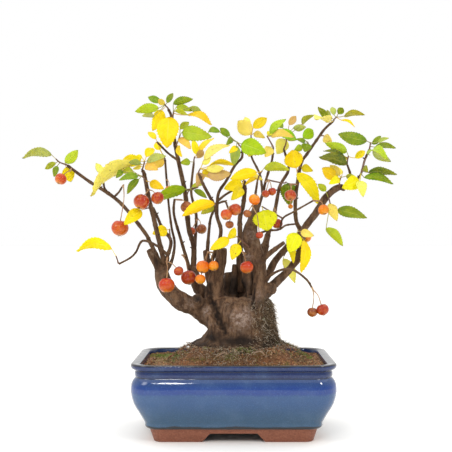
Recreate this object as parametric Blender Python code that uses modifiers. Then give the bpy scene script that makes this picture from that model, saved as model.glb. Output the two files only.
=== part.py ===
"""A crabapple bonsai: an old tree with thin new shoots, autumn leaves and fruit, in a glazed pot.

Lengths are written in millimetres and turned into metres where a mesh is made. The plant's routes are
written as seen in the reference view, as pixels with a depth, and at() turns them into places round the pot.
"""
import math

import bmesh
import bpy
from mathutils import Matrix, Vector
from mathutils.bvhtree import BVHTree

MM = 0.001
GAP = 0.3

# Reference view: a level camera in front of the pot, looking along +Y
FOCAL_PX = 878.0
EYE_X_PX = 233.7
EYE_Y_PX = 240.0
EYE_DISTANCE = 1211.5
EYE_HEIGHT = 261.5

# Pot
POT_HALF_WIDTH = 134.0
POT_HALF_DEPTH = 97.5
POT_HEIGHT = 101.8
FOOT_HEIGHT = 17.0
FLOOR_UNDERSIDE = 20.0
FLOOR_TOP = 30.0
CORNER_RADIUS = 29.0
CORNER_TAPER = 0.55
CORNER_STEPS = 4
NOTCH_HEIGHT = 11.5
FRONT_NOTCH_TOP = 30.6
FRONT_NOTCH_BOTTOM = 41.4
SIDE_NOTCH_TOP = 20.0
SIDE_NOTCH_BOTTOM = 28.0
DRAIN_RADIUS = 9.0
DRAIN_X = 55.0
SCREEN_SIZE = 32.0
SCREEN_THICKNESS = 1.4
SCREEN_CELLS = 7

# Soil, and the root end of the trunk that stands in its hole
SOIL_EDGE_HEIGHT = 95.0
SOIL_MOUND_HEIGHT = 117.0
MOUND_HALF_WIDTH = 108.0
MOUND_HALF_DEPTH = 80.0
MOUND_LEVEL = 0.6
ROOT_X = 7.0
ROOT_HALF_WIDTH = 65.5
ROOT_HALF_DEPTH = 47.0
ROOT_BOTTOM = 70.0
ROOT_SIDES = 18

# How much deeper the crown spreads than its table says, from a pixel row upwards and over how many rows
CROWN_SPREAD = 0.6
CROWN_SPREAD_FROM = 275.0
CROWN_SPREAD_OVER = 60.0

# Leaves: the least breadth is a share of the length, and the cup a share of the half-width
LEAF_THICKNESS = 1.3
LEAF_BREADTH = 0.40
LEAF_CUP = 0.28
STALK_RADIUS = 0.75
SHOOT_RADIUS = 1.2
CLEARANCE = 0.4

# Fruit: its height and the height of its dimpled poles, as shares of a ball's
SPUR_RADIUS = 1.3
SPUR_LENGTH = 2.5
SQUARE_START = 1.2
FRUIT_HEIGHT = 0.93
FRUIT_POLE = 0.72

# Clean-up after a union: the smallest body kept, in points, and the edge lengths to dissolve
SCRAP_POINTS = 16
SLIVERS = (0.04, 0.02, 0.01, 0.005)

# Half-width of the pot at each height: up its outside from the foot, then down its inside to the floor
POT_OUTSIDE = (
    (93.0, 0.0), (104.2, 0.0), (109.8, FOOT_HEIGHT), (113.5, 18.0), (115.9, 21.5), (116.2, 25.5),
    (122.0, 35.5), (130.7, 50.6), (134.0, 66.0), (131.8, 79.0), (127.6, 83.6), (128.8, 85.0), (128.8, 91.6),
    (127.8, 93.2), (132.6, 94.2), (POT_HALF_WIDTH, 97.0), (POT_HALF_WIDTH - 0.8, POT_HEIGHT),
)
POT_INSIDE = ((122.0, POT_HEIGHT - 0.8), (121.5, 84.0), (121.0, 66.0), (115.0, 44.0), (107.0, FLOOR_TOP))

COLOURS = {
    "yellow": (0.72, 0.55, 0.08), "pale": (0.82, 0.74, 0.36), "gold": (0.66, 0.42, 0.05),
    "ochre": (0.50, 0.33, 0.07), "orange": (0.70, 0.36, 0.09), "brown": (0.34, 0.20, 0.09),
    "green": (0.22, 0.36, 0.08), "dark": (0.12, 0.22, 0.06), "bright": (0.34, 0.50, 0.07),
    "light": (0.47, 0.55, 0.14), "olive": (0.36, 0.38, 0.08), "grey": (0.42, 0.48, 0.26),
    "spotted": (0.55, 0.56, 0.12), "red": (0.48, 0.05, 0.02), "scarlet": (0.62, 0.12, 0.03),
    "amber": (0.72, 0.28, 0.06), "russet": (0.36, 0.12, 0.06),
}

# Old wood: pixel, depth in mm and radius in mm at each point. A route starts inside what it grows from.
OLD_WOOD = {
    "left_limb": ((216, 322, 0, 15), (198, 308.5, -4, 12.5), (180, 300.5, -8, 12), (165, 285, -6, 12),
                  (160.5, 265, -4, 8)),
    "left_limb_knot": ((204, 306, -8, 8), (196.5, 298.5, -26, 7)),
    "left_root_ridge": ((203, 310, -8, 9.5), (212.5, 321, -20, 9), (217.5, 333, -26, 9),
                        (221, 343, -28, 9)),
    "left_stem": ((216, 314, 0, 15), (214, 294, -4, 13), (217, 276, -6, 10), (221, 260, -8, 8),
                  (222, 248, -8, 7)),
    "back_mass_left": ((231, 310, 14, 16), (231, 288, 20, 12), (230, 272, 20, 8)),
    "back_mass_right": ((248, 306, 14, 15), (247, 284, 18, 12), (247, 266, 16, 8)),
    "hollow_stem": ((234, 298, 2, 6), (234.5, 276, 4, 4.6), (235, 264, 6, 3.8)),
    "centre_stem": ((246, 302, -8, 10), (246.5, 286, -9, 7.4), (247, 270, -8, 7), (250, 254, -8, 9)),
    "front_burl": ((240, 300, -8, 12), (240, 309, -17, 20), (241, 320, -21, 24), (240.5, 331, -20, 23),
                   (239, 341, -16, 18)),
    "back_limb": ((222, 312, 12, 13), (207, 297, 20, 10), (196.5, 284, 22, 8), (193.5, 266, 20, 6.5)),
    "left_cut_stub": ((166, 280, -8, 7), (157.4, 266, -8, 5.5), (148.5, 249, -8, 4.5)),
    "thick_cut_stub": ((222, 300, 6, 9), (210, 280, 6, 6), (206, 250, 6, 4.5)),
    "woody_limb": ((256, 322, -16, 9), (258, 306, -20, 10), (259.5, 290, -18, 9.5), (260, 272, -12, 9),
                   (256, 255, -10, 11.5), (251, 243, -10, 13), (250, 232, -11, 10.5), (252.5, 222, -13, 8),
                   (255, 212, -14, 6), (257, 204, -14, 4.5)),
    "right_flat_stub": ((255, 300, -4, 11), (268, 290, -14, 9), (272, 288, -22, 8)),
    "right_limb": ((254, 300, 0, 11), (272, 286, 0, 6.5), (290.6, 268, 2, 5), (299, 255, 4, 6.2),
                   (301.5, 240, 5, 5), (304.6, 228, 4, 4.8), (316, 213, 2, 5), (327, 196, 0, 5.2),
                   (339, 187, -3, 4.6), (344.9, 189.3, -6, 4)),
    "upper_right_limb": ((250, 296, 8, 10), (265, 279.5, 14, 5.5), (276, 259.7, 18, 5),
                         (287.4, 247, 20, 4.6), (303, 230.5, 24, 4.4)),
}
# Shoots and twigs, in the same form
SHOOTS = {
    "old_shoot": ((164.5, 264, -8, 3.6), (157.4, 234, -10, 3.3), (153, 215, -12, 3.1), (149, 199, -15, 3),
                  (144.7, 176, -20, 2.6), (142.6, 170.6, -22, 2.2)),
    "long_shoot": ((162, 266, -2, 3.2), (150.4, 243, 8, 2.8), (144.7, 232.5, 12, 2.7),
                   (125, 207.7, 18, 2.6), (110, 194.5, 20, 2.5), (90, 182, 14, 2.3), (67.4, 165.5, 8, 2)),
    "long_shoot_fork": ((108, 193, 20, 1.7), (104.5, 188, 18, 1.5), (103.5, 182, 16, 1.4)),
    "long_shoot_twig": ((114, 197, 20, 1.6), (119, 192, 12, 1.4), (122, 187, 4, 1.3)),
    "trailing_twig": ((164, 266, -6, 3), (168, 257, -12, 2), (158, 246.5, -18, 1.7),
                      (142.8, 240.8, -24, 1.6), (136, 252, -29, 1.5), (130, 258, -33, 1.4),
                      (118.8, 264, -38, 1.3)),
    "back_shoot": ((164, 265, -2, 3), (171, 242, 22, 2.5), (162.5, 228.7, 24, 2.3), (158, 218.5, 26, 2.1),
                   (153, 207.6, 28, 1.9)),
    "thin_shoot": ((166, 270, -2, 4), (172, 260, 12, 2.4), (174.6, 243, 30, 1.8), (171.5, 227, 30, 1.7),
                   (168.3, 200.6, 27, 1.6), (165.1, 160, 24, 1.5)),
    "slim_shoot": ((190, 270, 18, 2.8), (181, 240, 20, 2.2), (174, 214.6, 10, 1.9), (174.6, 199, 6, 1.6)),
    "tall_shoot": ((193, 272, 20, 4.2), (193.8, 246.5, 18, 3.8), (188.7, 228, 17, 3.6),
                   (185.5, 195.5, 14, 3.3), (178.5, 161.5, 10, 2.9), (175.3, 145.6, 8, 2.6),
                   (172, 118.8, 5, 2.1), (168.3, 109.2, 2, 1.8)),
    "tall_shoot_fork": ((177.5, 160, 10, 1.8), (168, 153, 14, 1.5), (157, 142, 18, 1.3)),
    "straight_shoot": ((193, 268, 24, 3), (196, 227, 36, 2.3), (195.7, 211, 36, 2.1), (191.2, 192, 35, 1.9),
                       (193.8, 163, 33, 1.6)),
    "left_centre_shoot": ((207, 256, 6, 3), (209, 230.6, 0, 2), (211, 217, -6, 1.8), (216, 206, -14, 1.6)),
    "bent_shoot": ((209, 268, 4, 3), (220.6, 235, -8, 2.7), (217.4, 218, -14, 2.5), (214, 205, -20, 2.3),
                   (203.8, 185.6, -32, 2), (198.9, 174, -38, 1.7)),
    "zigzag_shoot": ((217, 214, -14, 2.2), (218.3, 194, -16, 2.1), (226.4, 180.6, -18, 2),
                     (235.2, 165, -22, 1.9), (241.7, 158, -24, 1.7), (242.4, 150, -26, 1.5)),
    "cross_twig": ((217.8, 201, -16, 1.8), (225, 195, -6, 1.6), (234, 190, 2, 1.5), (244.5, 187, 9, 1.5)),
    "hanging_twig": ((219, 203, -16, 1.5), (225, 201.5, -20, 1.4), (227.5, 206.6, -22, 1.3),
                     (230.5, 215, -24, 1.2)),
    "cut_shoot": ((240, 292, 8, 6), (240, 235, 12, 3.6), (240, 218, 12, 3.4), (243.3, 204, 11, 3.2),
                  (244.7, 190, 10, 3), (244, 180.8, 10, 2.8)),
    "front_stem": ((255, 219, -14, 2.2), (254.6, 202, -16, 1.7), (257.3, 182, -17, 1.5)),
    "summit_stem": ((256, 214, -12, 2.6), (262, 196, -4, 2.1), (266, 180, 0, 1.8), (272, 160, 4, 1.6),
                    (273, 148, 6, 1.5)),
    "summit_twig": ((262.5, 194, -3, 1.8), (260, 175, 12, 1.6), (252, 158, 20, 1.5), (250, 147.5, 22, 1.3)),
    "inner_shoot": ((258, 279, -10, 6), (261, 263, 4, 7), (264, 250, 12, 6.2), (267, 238, 18, 4.2),
                    (270, 227, 24, 3), (275, 210, 26, 2.7), (280, 186, 30, 2.4), (288.6, 169, 38, 2),
                    (284, 150, 44, 1.6)),
    "outer_shoot": ((303, 232, 24, 3.2), (296.5, 222, 28, 3), (295.3, 202, 30, 2.8), (297.7, 182, 28, 2.6),
                    (301.2, 163, 26, 2.4), (307, 154, 24, 2.2), (317.4, 139, 16, 2), (324.7, 129, 12, 1.8),
                    (332.8, 121.6, 10, 1.6)),
    "lit_twig": ((256, 268, -8, 4.6), (263, 259.4, -16, 3.9), (270.8, 252.4, -18, 3.5),
                 (284.2, 242.5, -22, 2.4)),
    "cross_stem": ((251, 237, -12, 2), (266, 231, -16, 1.5), (278.5, 229.7, -18, 1.4),
                   (286, 225.3, -18, 1.3), (296, 224, -16, 1.2)),
    "twin_stem": ((280, 229.5, -18, 1.4), (283, 218.3, -10, 1.3), (293.2, 212, -6, 1.3),
                  (313.6, 200.4, -4, 1.2)),
    "arching_twig": ((258, 290, -8, 3), (266, 279, -22, 2), (280, 270.3, -28, 1.7), (293, 270, -30, 1.6),
                     (306, 279, -32, 1.5), (311.5, 287, -33, 1.4)),
    "upper_right_twig": ((343, 188, -4, 2.6), (350.6, 178.4, -10, 1.8), (347.4, 165, -12, 1.4)),
    "right_twig": ((348, 182, -7, 1.8), (359.5, 176.5, -16, 1.6), (364.6, 160.6, -24, 1.5),
                   (369.1, 149.7, -30, 1.4)),
    "left_spur": ((184.5, 190, 14, 1.8), (190, 189.5, 18, 1.4), (198, 187, 22, 1.2)),
}
# Fruit bunches: where the spur ends, then each fruit's pixel, width seen in pixels, depth in mm and colour
BUNCHES = {
    "fruit_far_left": ((70, 171, 2), (
        (60.8, 178.9, 12, -4, "scarlet"),
    )),
    "fruit_long_stalk": ((123.5, 185, -6), (
        (119.9, 227.9, 17.4, -8, "scarlet"),
    )),
    "fruit_old_shoot": ((149.5, 190, -22), (
        (141.5, 201.5, 16, -28, "red"),
        (157.5, 198, 13, -26, "red"),
    )),
    "fruit_thin_shoot": ((167.5, 180, 20), (
        (169.5, 191, 11, 14, "amber"),
    )),
    "fruit_tall_shoot": ((182.5, 200, 6), (
        (186.5, 207, 12, 2, "russet"),
    )),
    "fruit_straight_shoot": ((198, 219, 30), (
        (201.5, 229, 10.5, 24, "russet"),
        (191.5, 231, 8.5, 28, "red"),
    )),
    "fruit_left_knot": ((166.5, 262, -22), (
        (166.6, 285.1, 16.3, -34, "scarlet"),
        (178.5, 271, 10, -26, "red"),
    )),
    "fruit_back_limb": ((182, 255, 6), (
        (188.6, 277.4, 15.6, -2, "red"),
    )),
    "fruit_centre_stub": ((207.4, 252, -8), (
        (202.8, 266.8, 13.6, -24, "amber"),
        (213.6, 265.8, 10.5, -26, "amber"),
        (200.4, 279.2, 10.5, -30, "amber"),
    )),
    "fruit_low_centre": ((241, 251, -20), (
        (246.8, 267.2, 13.4, -31, "scarlet"),
    )),
    "fruit_hanging_twig": ((231, 206, -26), (
        (226.3, 214.6, 11.5, -36, "scarlet"),
        (235.2, 209.6, 12.5, -30, "red"),
        (229.5, 224.5, 8.5, -28, "russet"),
    )),
    "fruit_front_stem": ((252, 206, -30), (
        (254.5, 199.5, 11.5, -32, "amber"),
        (247.4, 213.5, 8.5, -30, "russet"),
        (259.5, 235, 7.5, -26, "red"),
    )),
    "fruit_summit_stem": ((268.5, 180, -8), (
        (265.7, 193.8, 8, -14, "red"),
        (272, 191.5, 8.5, -10, "red"),
    )),
    "fruit_inner_shoot": ((274.5, 208, 14), (
        (277.4, 223.7, 10.5, 6, "red"),
    )),
    "fruit_outer_shoot": ((289.5, 184, 18), (
        (290.4, 195.4, 12, -6, "red"),
        (290.5, 206.5, 5, 4, "amber"),
    )),
    "fruit_right_limb": ((320, 201, -12), (
        (323.5, 209.7, 11, -20, "amber"),
    )),
    "fruit_elbow": ((306, 228, 14), (
        (306.5, 237.5, 10, 14, "amber"),
    )),
    "fruit_arching_twig": ((313, 290, -34), (
        (312.3, 312.1, 10.4, -34, "russet"),
        (322.6, 309.6, 12.6, -36, "red"),
    )),
}
# Trunk: the pixel row, its left and right edge there, and its depth from front to back in mm
TRUNK = (
    (343.5, 191.5, 285.5, 94), (338, 202, 279.5, 84), (330, 207.5, 276.5, 76), (320, 208.5, 275.5, 72),
    (310, 205, 273.5, 66), (304, 203.5, 272, 62), (299, 206, 270.5, 54), (296, 212, 266, 44),
)
# Leafy sprays: the shoot that carries each, as pixels with a depth in mm from the pot's middle (minus is
# nearer the eye), then its leaves. A leaf is the pixel where its blade starts, its tip's pixel, the width
# seen in pixels, how far its tip leans away from the eye in mm, its upward arch and its colour.
SPRAYS = {
    "spray_far_left_tip": (((67.4, 165.5, 8), (59.7, 162.3, 5), (56.0, 159.0, 2)), (
        (52, 155, 22, 158, 9, -14, 0.22, "grey"),
        (56, 163, 45, 169, 6, 10, 0.05, "olive"),
        (57, 166, 54, 177, 6, -8, 0.05, "green"),
        (65, 163, 78, 150, 10.5, -6, 0.08, "light"),
        (66, 167, 71, 182, 12.5, -10, 0.08, "yellow"))),
    "spray_old_shoot_tip": (((142.6, 170.6, -22), (143.5, 166, -24), (144.5, 161, -26)), (
        (134, 163, 90.5, 196, 11.5, -24, 0.14, "pale"),
        (145, 149, 122, 161, 12.5, 14, 0.10, "yellow"),
        (142, 157, 133, 158, 6, 12, 0.05, "yellow"),
        (146, 157, 153, 148, 9, 20, 0.10, "yellow"),
        (147, 161, 166, 156, 8, -16, 0.08, "grey"),
        (146, 164, 158, 170, 10.5, -14, 0.12, "orange"),
        (141, 164, 129, 162, 6, -18, 0.10, "grey"),
        (141, 166, 133, 169, 4.5, 6, 0.08, "pale"))),
    "spray_old_shoot_side": (((146.5, 181.0, -23), (144, 178, -29), (141.5, 176, -33)), (
        (133, 171, 121, 173, 6, 16, 0.10, "light"),
        (138, 176, 119, 180, 8, -14, 0.14, "green"),
        (139, 179, 127, 194, 6, -8, 0.10, "green"),
        (122, 170, 116, 178, 6, 8, 0.08, "green"),
        (150, 182, 164, 189, 9, -10, 0.10, "gold"))),
    "spray_thin_shoot_tip": (((165.1, 160.0, 24), (164.0, 157.0, 25), (162.5, 154.0, 26)), (
        (163, 159, 151, 168, 11.5, -8, 0.10, "ochre"),
        (164, 163, 153, 169, 7, 14, 0.08, "green"),
        (160, 150, 156, 142, 8, 10, 0.08, "yellow"),
        (156, 139, 148, 132, 6, 14, 0.08, "yellow"))),
    "spray_old_shoot_low": (((150.5, 207.0, -11), (148, 208, -17), (144, 209, -21)), (
        (141, 210, 124, 225, 12.5, -16, 0.12, "yellow"),)),
    "spray_long_shoot_mid": (((103.5, 182.0, 16), (103.2, 179.0, 15), (103, 176, 14)), (
        (103, 174, 96, 163, 7, 8, 0.10, "pale"),
        (104, 177, 110, 168, 4.5, 10, 0.10, "light"))),
    "spray_trailing_twig": (((118.8, 264.0, -38), (117.6, 260.5, -40), (116, 256, -42)), (
        (112, 249, 76, 251, 10.5, -18, 0.24, "yellow"),)),
    "spray_back_left": (((170.5, 240.0, 21), (170, 235, 16), (169.5, 229, 12)), (
        (168, 223, 152.5, 234, 11.5, -14, 0.12, "yellow"),)),
    "spray_tall_low": (((185.5, 195.5, 14), (188, 192, 8), (190, 189.5, 3)), (
        (186, 189, 152.5, 202, 11.5, -14, 0.08, "bright"),
        (194, 190, 207, 198, 6, -8, 0.10, "green"),
        (192, 187, 205, 185, 4.5, 12, 0.10, "light"))),
    "spray_crown_left": (((168.3, 109.2, 2), (166.5, 106.5, 0), (164.5, 104.5, -2)), (
        (161, 102, 148, 97, 7, 12, 0.10, "green"),
        (165, 104, 158, 100, 6, -10, 0.08, "ochre"),
        (159, 108, 135, 111.5, 9, -14, 0.14, "light"),
        (162, 110, 152.5, 131, 12.5, 16, 0.10, "yellow"),
        (154, 116, 142, 116, 4.5, 14, 0.08, "grey"),
        (167, 103, 173, 93, 6, 10, 0.08, "green"))),
    "spray_crown_middle": (((172.5, 121.0, 1), (173, 116, -7), (173.5, 111.5, -12)), (
        (169, 117, 167, 148, 22, -10, 0.10, "yellow"),
        (173, 104, 193, 99, 7, -6, 0.12, "green"),
        (176, 107, 192, 111, 7, 12, 0.10, "light"),
        (190, 107, 203, 118, 7, 20, 0.10, "grey"),
        (187, 115, 212, 125, 7, -12, 0.16, "gold"),
        (175, 111, 188, 115, 4.5, -14, 0.08, "light"))),
    "spray_crown_right": (((176.0, 145.0, 4), (178.5, 140, -3), (180, 135, -7)), (
        (182, 132, 212, 137, 15, -14, 0.12, "light"),
        (180, 129, 189, 122, 7, 10, 0.08, "light"),
        (179, 138, 191, 149, 8, -18, 0.10, "orange"),
        (178, 146, 182, 157, 6, -16, 0.08, "yellow"))),
    "spray_slim_tip": (((193.8, 163.0, 33), (194, 159.5, 33), (194.8, 156.5, 32)), (
        (190, 163, 180, 168, 7, -8, 0.08, "light"),
        (197, 155, 193, 139, 7, 6, 0.08, "yellow"),
        (197, 158, 203, 150, 7, -12, 0.12, "brown"),
        (196, 168, 178, 180, 6, 10, 0.14, "ochre"),
        (199, 153, 214, 138, 6, 16, 0.10, "yellow"))),
    "spray_front_tip": (((198.9, 174.0, -38), (199, 171, -40), (200.5, 168.5, -42)), (
        (204, 160, 230, 145, 9, 10, 0.14, "pale"),
        (202, 164, 211, 158, 6, -6, 0.08, "pale"),
        (206, 169, 224, 168, 8, -10, 0.12, "pale"),
        (207, 177, 231, 179, 12, 4, 0.10, "brown"),
        (203, 170, 211, 178, 7, 8, 0.10, "gold"),
        (209, 166, 234, 165, 4.5, 18, 0.10, "gold"),
        (201, 173, 197, 187, 9, 12, 0.20, "brown"))),
    "spray_wet_top": (((242.4, 150.0, -26), (240, 146, -30), (237, 142, -33)), (
        (231, 134, 266, 153, 17, -16, 0.10, "bright"),
        (219, 150, 233, 166, 10.5, 8, 0.10, "grey"),
        (237, 147, 229, 153, 6, -10, 0.08, "yellow"),
        (220, 132, 208, 132, 6, 14, 0.24, "green"),
        (230, 136, 220, 128, 7, -12, 0.12, "green"),
        (232, 138, 226, 145, 6, 14, 0.08, "green"))),
    "spray_cut_stub": (((244.0, 180.8, 10), (243.5, 177.5, 2), (242.5, 175.5, -6)), (
        (242, 184, 224, 189, 13, -8, 0.12, "yellow"),
        (242, 188, 231, 200, 11, -18, 0.08, "yellow"),
        (244, 181, 234, 180, 4.5, 14, 0.08, "pale"),
        (250, 174, 263, 180, 6, 12, 0.10, "pale"),
        (246, 170, 236, 178, 4.5, -16, 0.12, "pale"))),
    "spray_woody_limb": (((257.3, 182.0, -17), (259, 176, -21), (262, 171, -25)), (
        (263, 164, 230, 179, 10.5, -10, 0.10, "yellow"),
        (264, 168, 290, 170, 9, 8, 0.12, "light"),
        (256, 178, 245, 185, 4.5, 6, 0.10, "gold"))),
    "spray_summit_left": (((250.0, 147.5, 22), (251, 141, 20), (251, 135, 18)), (
        (249, 127, 245, 117, 7, 12, 0.08, "pale"),
        (252, 134, 238, 121, 15, -12, 0.10, "pale"),
        (253, 128, 267, 118, 10, 10, 0.10, "gold"),
        (254, 133, 265, 138, 7, -16, 0.12, "ochre"),
        (262, 151, 249, 162, 9.5, -8, 0.08, "gold"))),
    "spray_summit_right": (((273.0, 148.0, 6), (270.5, 142, 3), (267, 136, 0)), (
        (256, 130, 286, 119, 8, -8, 0.20, "light"),
        (258, 129, 271, 132, 6, 12, 0.08, "yellow"),
        (262, 137, 294, 137, 9, -18, 0.24, "ochre"),
        (277, 143, 265, 157, 10, -10, 0.12, "pale"),
        (276, 132, 297, 140, 10, 18, 0.14, "bright"))),
    "spray_behind_summit": (((284.0, 150.0, 44), (286, 143, 43), (287, 135, 41)), (
        (289, 125, 296, 116, 7, 12, 0.08, "brown"),
        (283, 128, 277, 122, 6, 14, 0.08, "green"),
        (289, 128, 296, 140, 9, -14, 0.10, "olive"),
        (285, 139, 277, 154, 14, 12, 0.10, "pale"),
        (293, 128, 306, 127, 7, -8, 0.12, "grey"),
        (302, 124, 314, 115, 6, 10, 0.20, "olive"))),
    "spray_spade_leaf": (((300.5, 166.0, 27), (298.5, 169, 21), (297, 171.5, 16)), (
        (296.5, 173, 292, 150, 19, -12, 0.08, "yellow"),
        (302, 167, 313, 171, 8, -14, 0.10, "gold"),
        (297, 173, 319, 205, 14, -8, 0.12, "yellow"))),
    "spray_high_right": (((310.0, 151.0, 21), (309, 146, 17), (307.5, 142, 13)), (
        (303, 138, 313, 130, 11, -12, 0.20, "bright"),
        (307, 140, 305, 152, 10, -8, 0.10, "green"),
        (305, 142, 296, 139, 4.5, 12, 0.10, "green"),
        (302, 146, 294, 151, 7, 8, 0.08, "light"))),
    "spray_outer_tip": (((332.8, 121.6, 10), (334.5, 119, 8), (336.5, 117, 7)), (
        (327, 121, 318, 112, 6, 12, 0.08, "green"),
        (327, 124, 316, 125, 4.5, -14, 0.10, "pale"),
        (330, 117, 327, 110, 4.5, -8, 0.08, "grey"),
        (334, 115, 332, 107, 6, 10, 0.08, "grey"),
        (338, 114, 343, 108, 7, -10, 0.10, "green"),
        (344, 116, 365, 115, 6, 12, 0.10, "olive"),
        (341, 120, 355, 127, 4.5, -8, 0.14, "yellow"))),
    "spray_outer_low": (((320.0, 135.5, 16), (322.5, 135.5, 21), (324, 136, 25)), (
        (323, 133, 332, 142, 9, 10, 0.12, "pale"),)),
    "spray_right_far": (((369.1, 149.7, -30), (370, 146, -31), (370.5, 142.5, -32)), (
        (367, 141, 338, 134, 13, -8, 0.12, "green"),
        (372, 144, 381, 136, 6, 10, 0.08, "green"),
        (378, 142, 389, 138, 4.5, -10, 0.08, "grey"),
        (375, 147, 396, 148, 6, 8, 0.10, "green"),
        (368, 156, 388, 165, 9, -10, 0.26, "light"),
        (366, 163, 391, 167, 9, 12, 0.10, "grey"))),
    "spray_right_upper": (((347.4, 165.0, -12), (347.5, 160.5, -13), (348.5, 156, -13)), (
        (347, 152, 325, 143, 9, 10, 0.10, "light"),
        (342, 156, 323, 151, 6, 16, 0.12, "dark"),
        (347, 165, 319, 157, 9, -14, 0.12, "dark"),
        (358, 162, 336, 151, 7, -8, 0.24, "dark"),
        (347, 158, 339, 160, 4.5, 14, 0.08, "yellow"),
        (355, 158, 365, 151, 7, 10, 0.10, "yellow"))),
    "spray_right_lower": (((364.0, 163.0, -33), (362.5, 168, -37), (361, 173, -40)), (
        (363, 165, 368, 172, 6, 10, 0.10, "olive"),
        (368, 172.5, 397, 174.5, 7, -12, 0.08, "dark"),
        (364, 177.5, 393.5, 184, 8, 8, 0.10, "green"),
        (359, 180, 342, 188, 14, -12, 0.10, "yellow"),
        (360, 181, 363, 197, 10.5, -16, 0.10, "pale"))),
    "spray_right_inner": (((338, 186.0, -9), (339.5, 182, -14), (341, 177, -17)), (
        (348, 171, 330, 165, 8, 12, 0.10, "ochre"),
        (338, 178, 322, 168, 12, -12, 0.10, "gold"),
        (343, 172, 332, 172, 9, 18, 0.14, "pale"),
        (343, 175, 329, 184, 8, -18, 0.10, "yellow"),
        (346, 176, 357, 178, 6, 8, 0.10, "olive"))),
    "spray_right_hanging": (((327.5, 195.5, 0), (329, 199, -6), (330, 203, -9)), (
        (337, 210, 367, 218, 12, -8, 0.08, "green"),
        (326, 228, 343, 246, 8, 8, 0.10, "light"),
        (329, 204, 337, 221, 10.5, -14, 0.10, "pale"),
        (326, 191, 318, 184, 7, 10, 0.10, "light"))),
    "spray_elbow": (((301.5, 238.0, -4), (300, 233, -9), (298, 229.5, -13)), (
        (297, 227, 289, 253, 16, -12, 0.10, "spotted"),
        (300, 236, 293, 263, 8, -20, 0.12, "yellow"),
        (304, 240, 301, 273, 10.5, -10, 0.10, "yellow"),
        (311, 224, 314, 236, 8, -12, 0.10, "pale"))),
    "spray_heart_leaf": (((274.0, 215.0, -4), (268, 210, -12), (262, 206.5, -18)), (
        (261, 200, 267.5, 231, 24, -8, 0.06, "spotted"),)),
    "spray_behind_fruit": (((280.0, 186.0, 8), (283, 183, 12), (286, 182, 16)), (
        (288, 183, 290, 206, 16, 8, 0.08, "green"),)),
    "spray_centre_gold": (((214.5, 208.0, -25), (215, 205, -30), (215.5, 203, -34)), (
        (215, 203.5, 182, 216, 10.5, -8, 0.10, "yellow"),
        (213, 205, 201, 214, 9, 14, 0.10, "olive"))),
    "spray_low_centre": (((247.0, 246.0, -14), (241, 240, -29), (237, 236.5, -33)), (
        (244, 227.5, 229.5, 232, 12.5, -8, 0.10, "yellow"),
        (229, 238.5, 210, 250, 10.5, -10, 0.12, "yellow"),
        (238, 244, 232, 260, 11.5, -10, 0.08, "yellow"))),
    "spray_under_limb": (((287.4, 248.5, 20), (286, 252, 24), (284, 256, 27)), (
        (283, 258.5, 295, 283, 10.5, 8, 0.10, "pale"),)),
}


def at(x_px, y_px, depth):
    """The place in millimetres that shows at a pixel of the reference view, at a depth from the middle."""
    scale = (EYE_DISTANCE + depth) / FOCAL_PX
    return Vector(((x_px - EYE_X_PX) * scale, depth, EYE_HEIGHT - (y_px - EYE_Y_PX) * scale))


def on_plant(x_px, y_px, depth):
    """A place of the tree: its crown spreads deeper than the stump, by a share that grows with height."""
    height_share = min(1.0, max(0.0, (CROWN_SPREAD_FROM - y_px) / CROWN_SPREAD_OVER))
    return at(x_px, y_px, depth * (1.0 + CROWN_SPREAD * height_share))


def px_to_mm(size_px, depth):
    return size_px * (EYE_DISTANCE + depth) / FOCAL_PX


def material(name, colour, roughness):
    made = bpy.data.materials.get(name)
    if made is None:
        made = bpy.data.materials.new(name)
        made.use_nodes = True
        shader = made.node_tree.nodes["Principled BSDF"]
        shader.inputs["Base Color"].default_value = (*colour, 1.0)
        shader.inputs["Roughness"].default_value = roughness
        shader.inputs["Metallic"].default_value = 0.0
    return made


def new_object(name, mesh, collection, look=None):
    thing = bpy.data.objects.new(name, mesh)
    collection.objects.link(thing)
    if look is not None:
        mesh.materials.clear()
        mesh.materials.append(look)
    return thing


def mesh_from(name, made):
    face_out(made)
    mesh = bpy.data.meshes.new(name)
    made.to_mesh(mesh)
    made.free()
    return mesh


def face_out(made):
    """Turn every face of a closed mesh outwards."""
    bmesh.ops.recalc_face_normals(made, faces=made.faces)
    if made.calc_volume(signed=True) < 0:
        bmesh.ops.reverse_faces(made, faces=made.faces)


def loft(rings, cap_start=True, cap_end=True):
    """A bmesh through closed rings of points in millimetres that all have the same number of points."""
    made = bmesh.new()
    rows = [[made.verts.new(point * MM) for point in ring] for ring in rings]
    count = len(rings[0])
    for low, high in zip(rows, rows[1:]):
        for index in range(count):
            after = (index + 1) % count
            made.faces.new((low[index], low[after], high[after], high[index]))
    if cap_start:
        made.faces.new(list(reversed(rows[0])))
    if cap_end:
        made.faces.new(rows[-1])
    return made


def tube(name, points, sides, collection):
    """A tapered tube through places with a radius each: a poly curve with a bevel, made a closed mesh."""
    curve = bpy.data.curves.new(name, "CURVE")
    curve.dimensions = "3D"
    curve.bevel_depth = MM
    curve.bevel_resolution = (sides - 4) // 2
    curve.use_fill_caps = True
    spline = curve.splines.new("POLY")
    spline.points.add(len(points) - 1)
    for spot, (place, radius) in zip(spline.points, points):
        spot.co = (*(place * MM), 1.0)
        spot.radius = radius
    rough = bpy.data.objects.new(name + "_curve", curve)
    collection.objects.link(rough)
    evaluated = rough.evaluated_get(bpy.context.evaluated_depsgraph_get())
    mesh = bpy.data.meshes.new_from_object(evaluated)
    mesh.materials.clear()
    bpy.data.objects.remove(rough)
    made = bmesh.new()
    made.from_mesh(mesh)
    bmesh.ops.remove_doubles(made, verts=made.verts, dist=1e-6)
    face_out(made)
    made.to_mesh(mesh)
    made.free()
    return new_object(name, mesh, collection)


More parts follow.
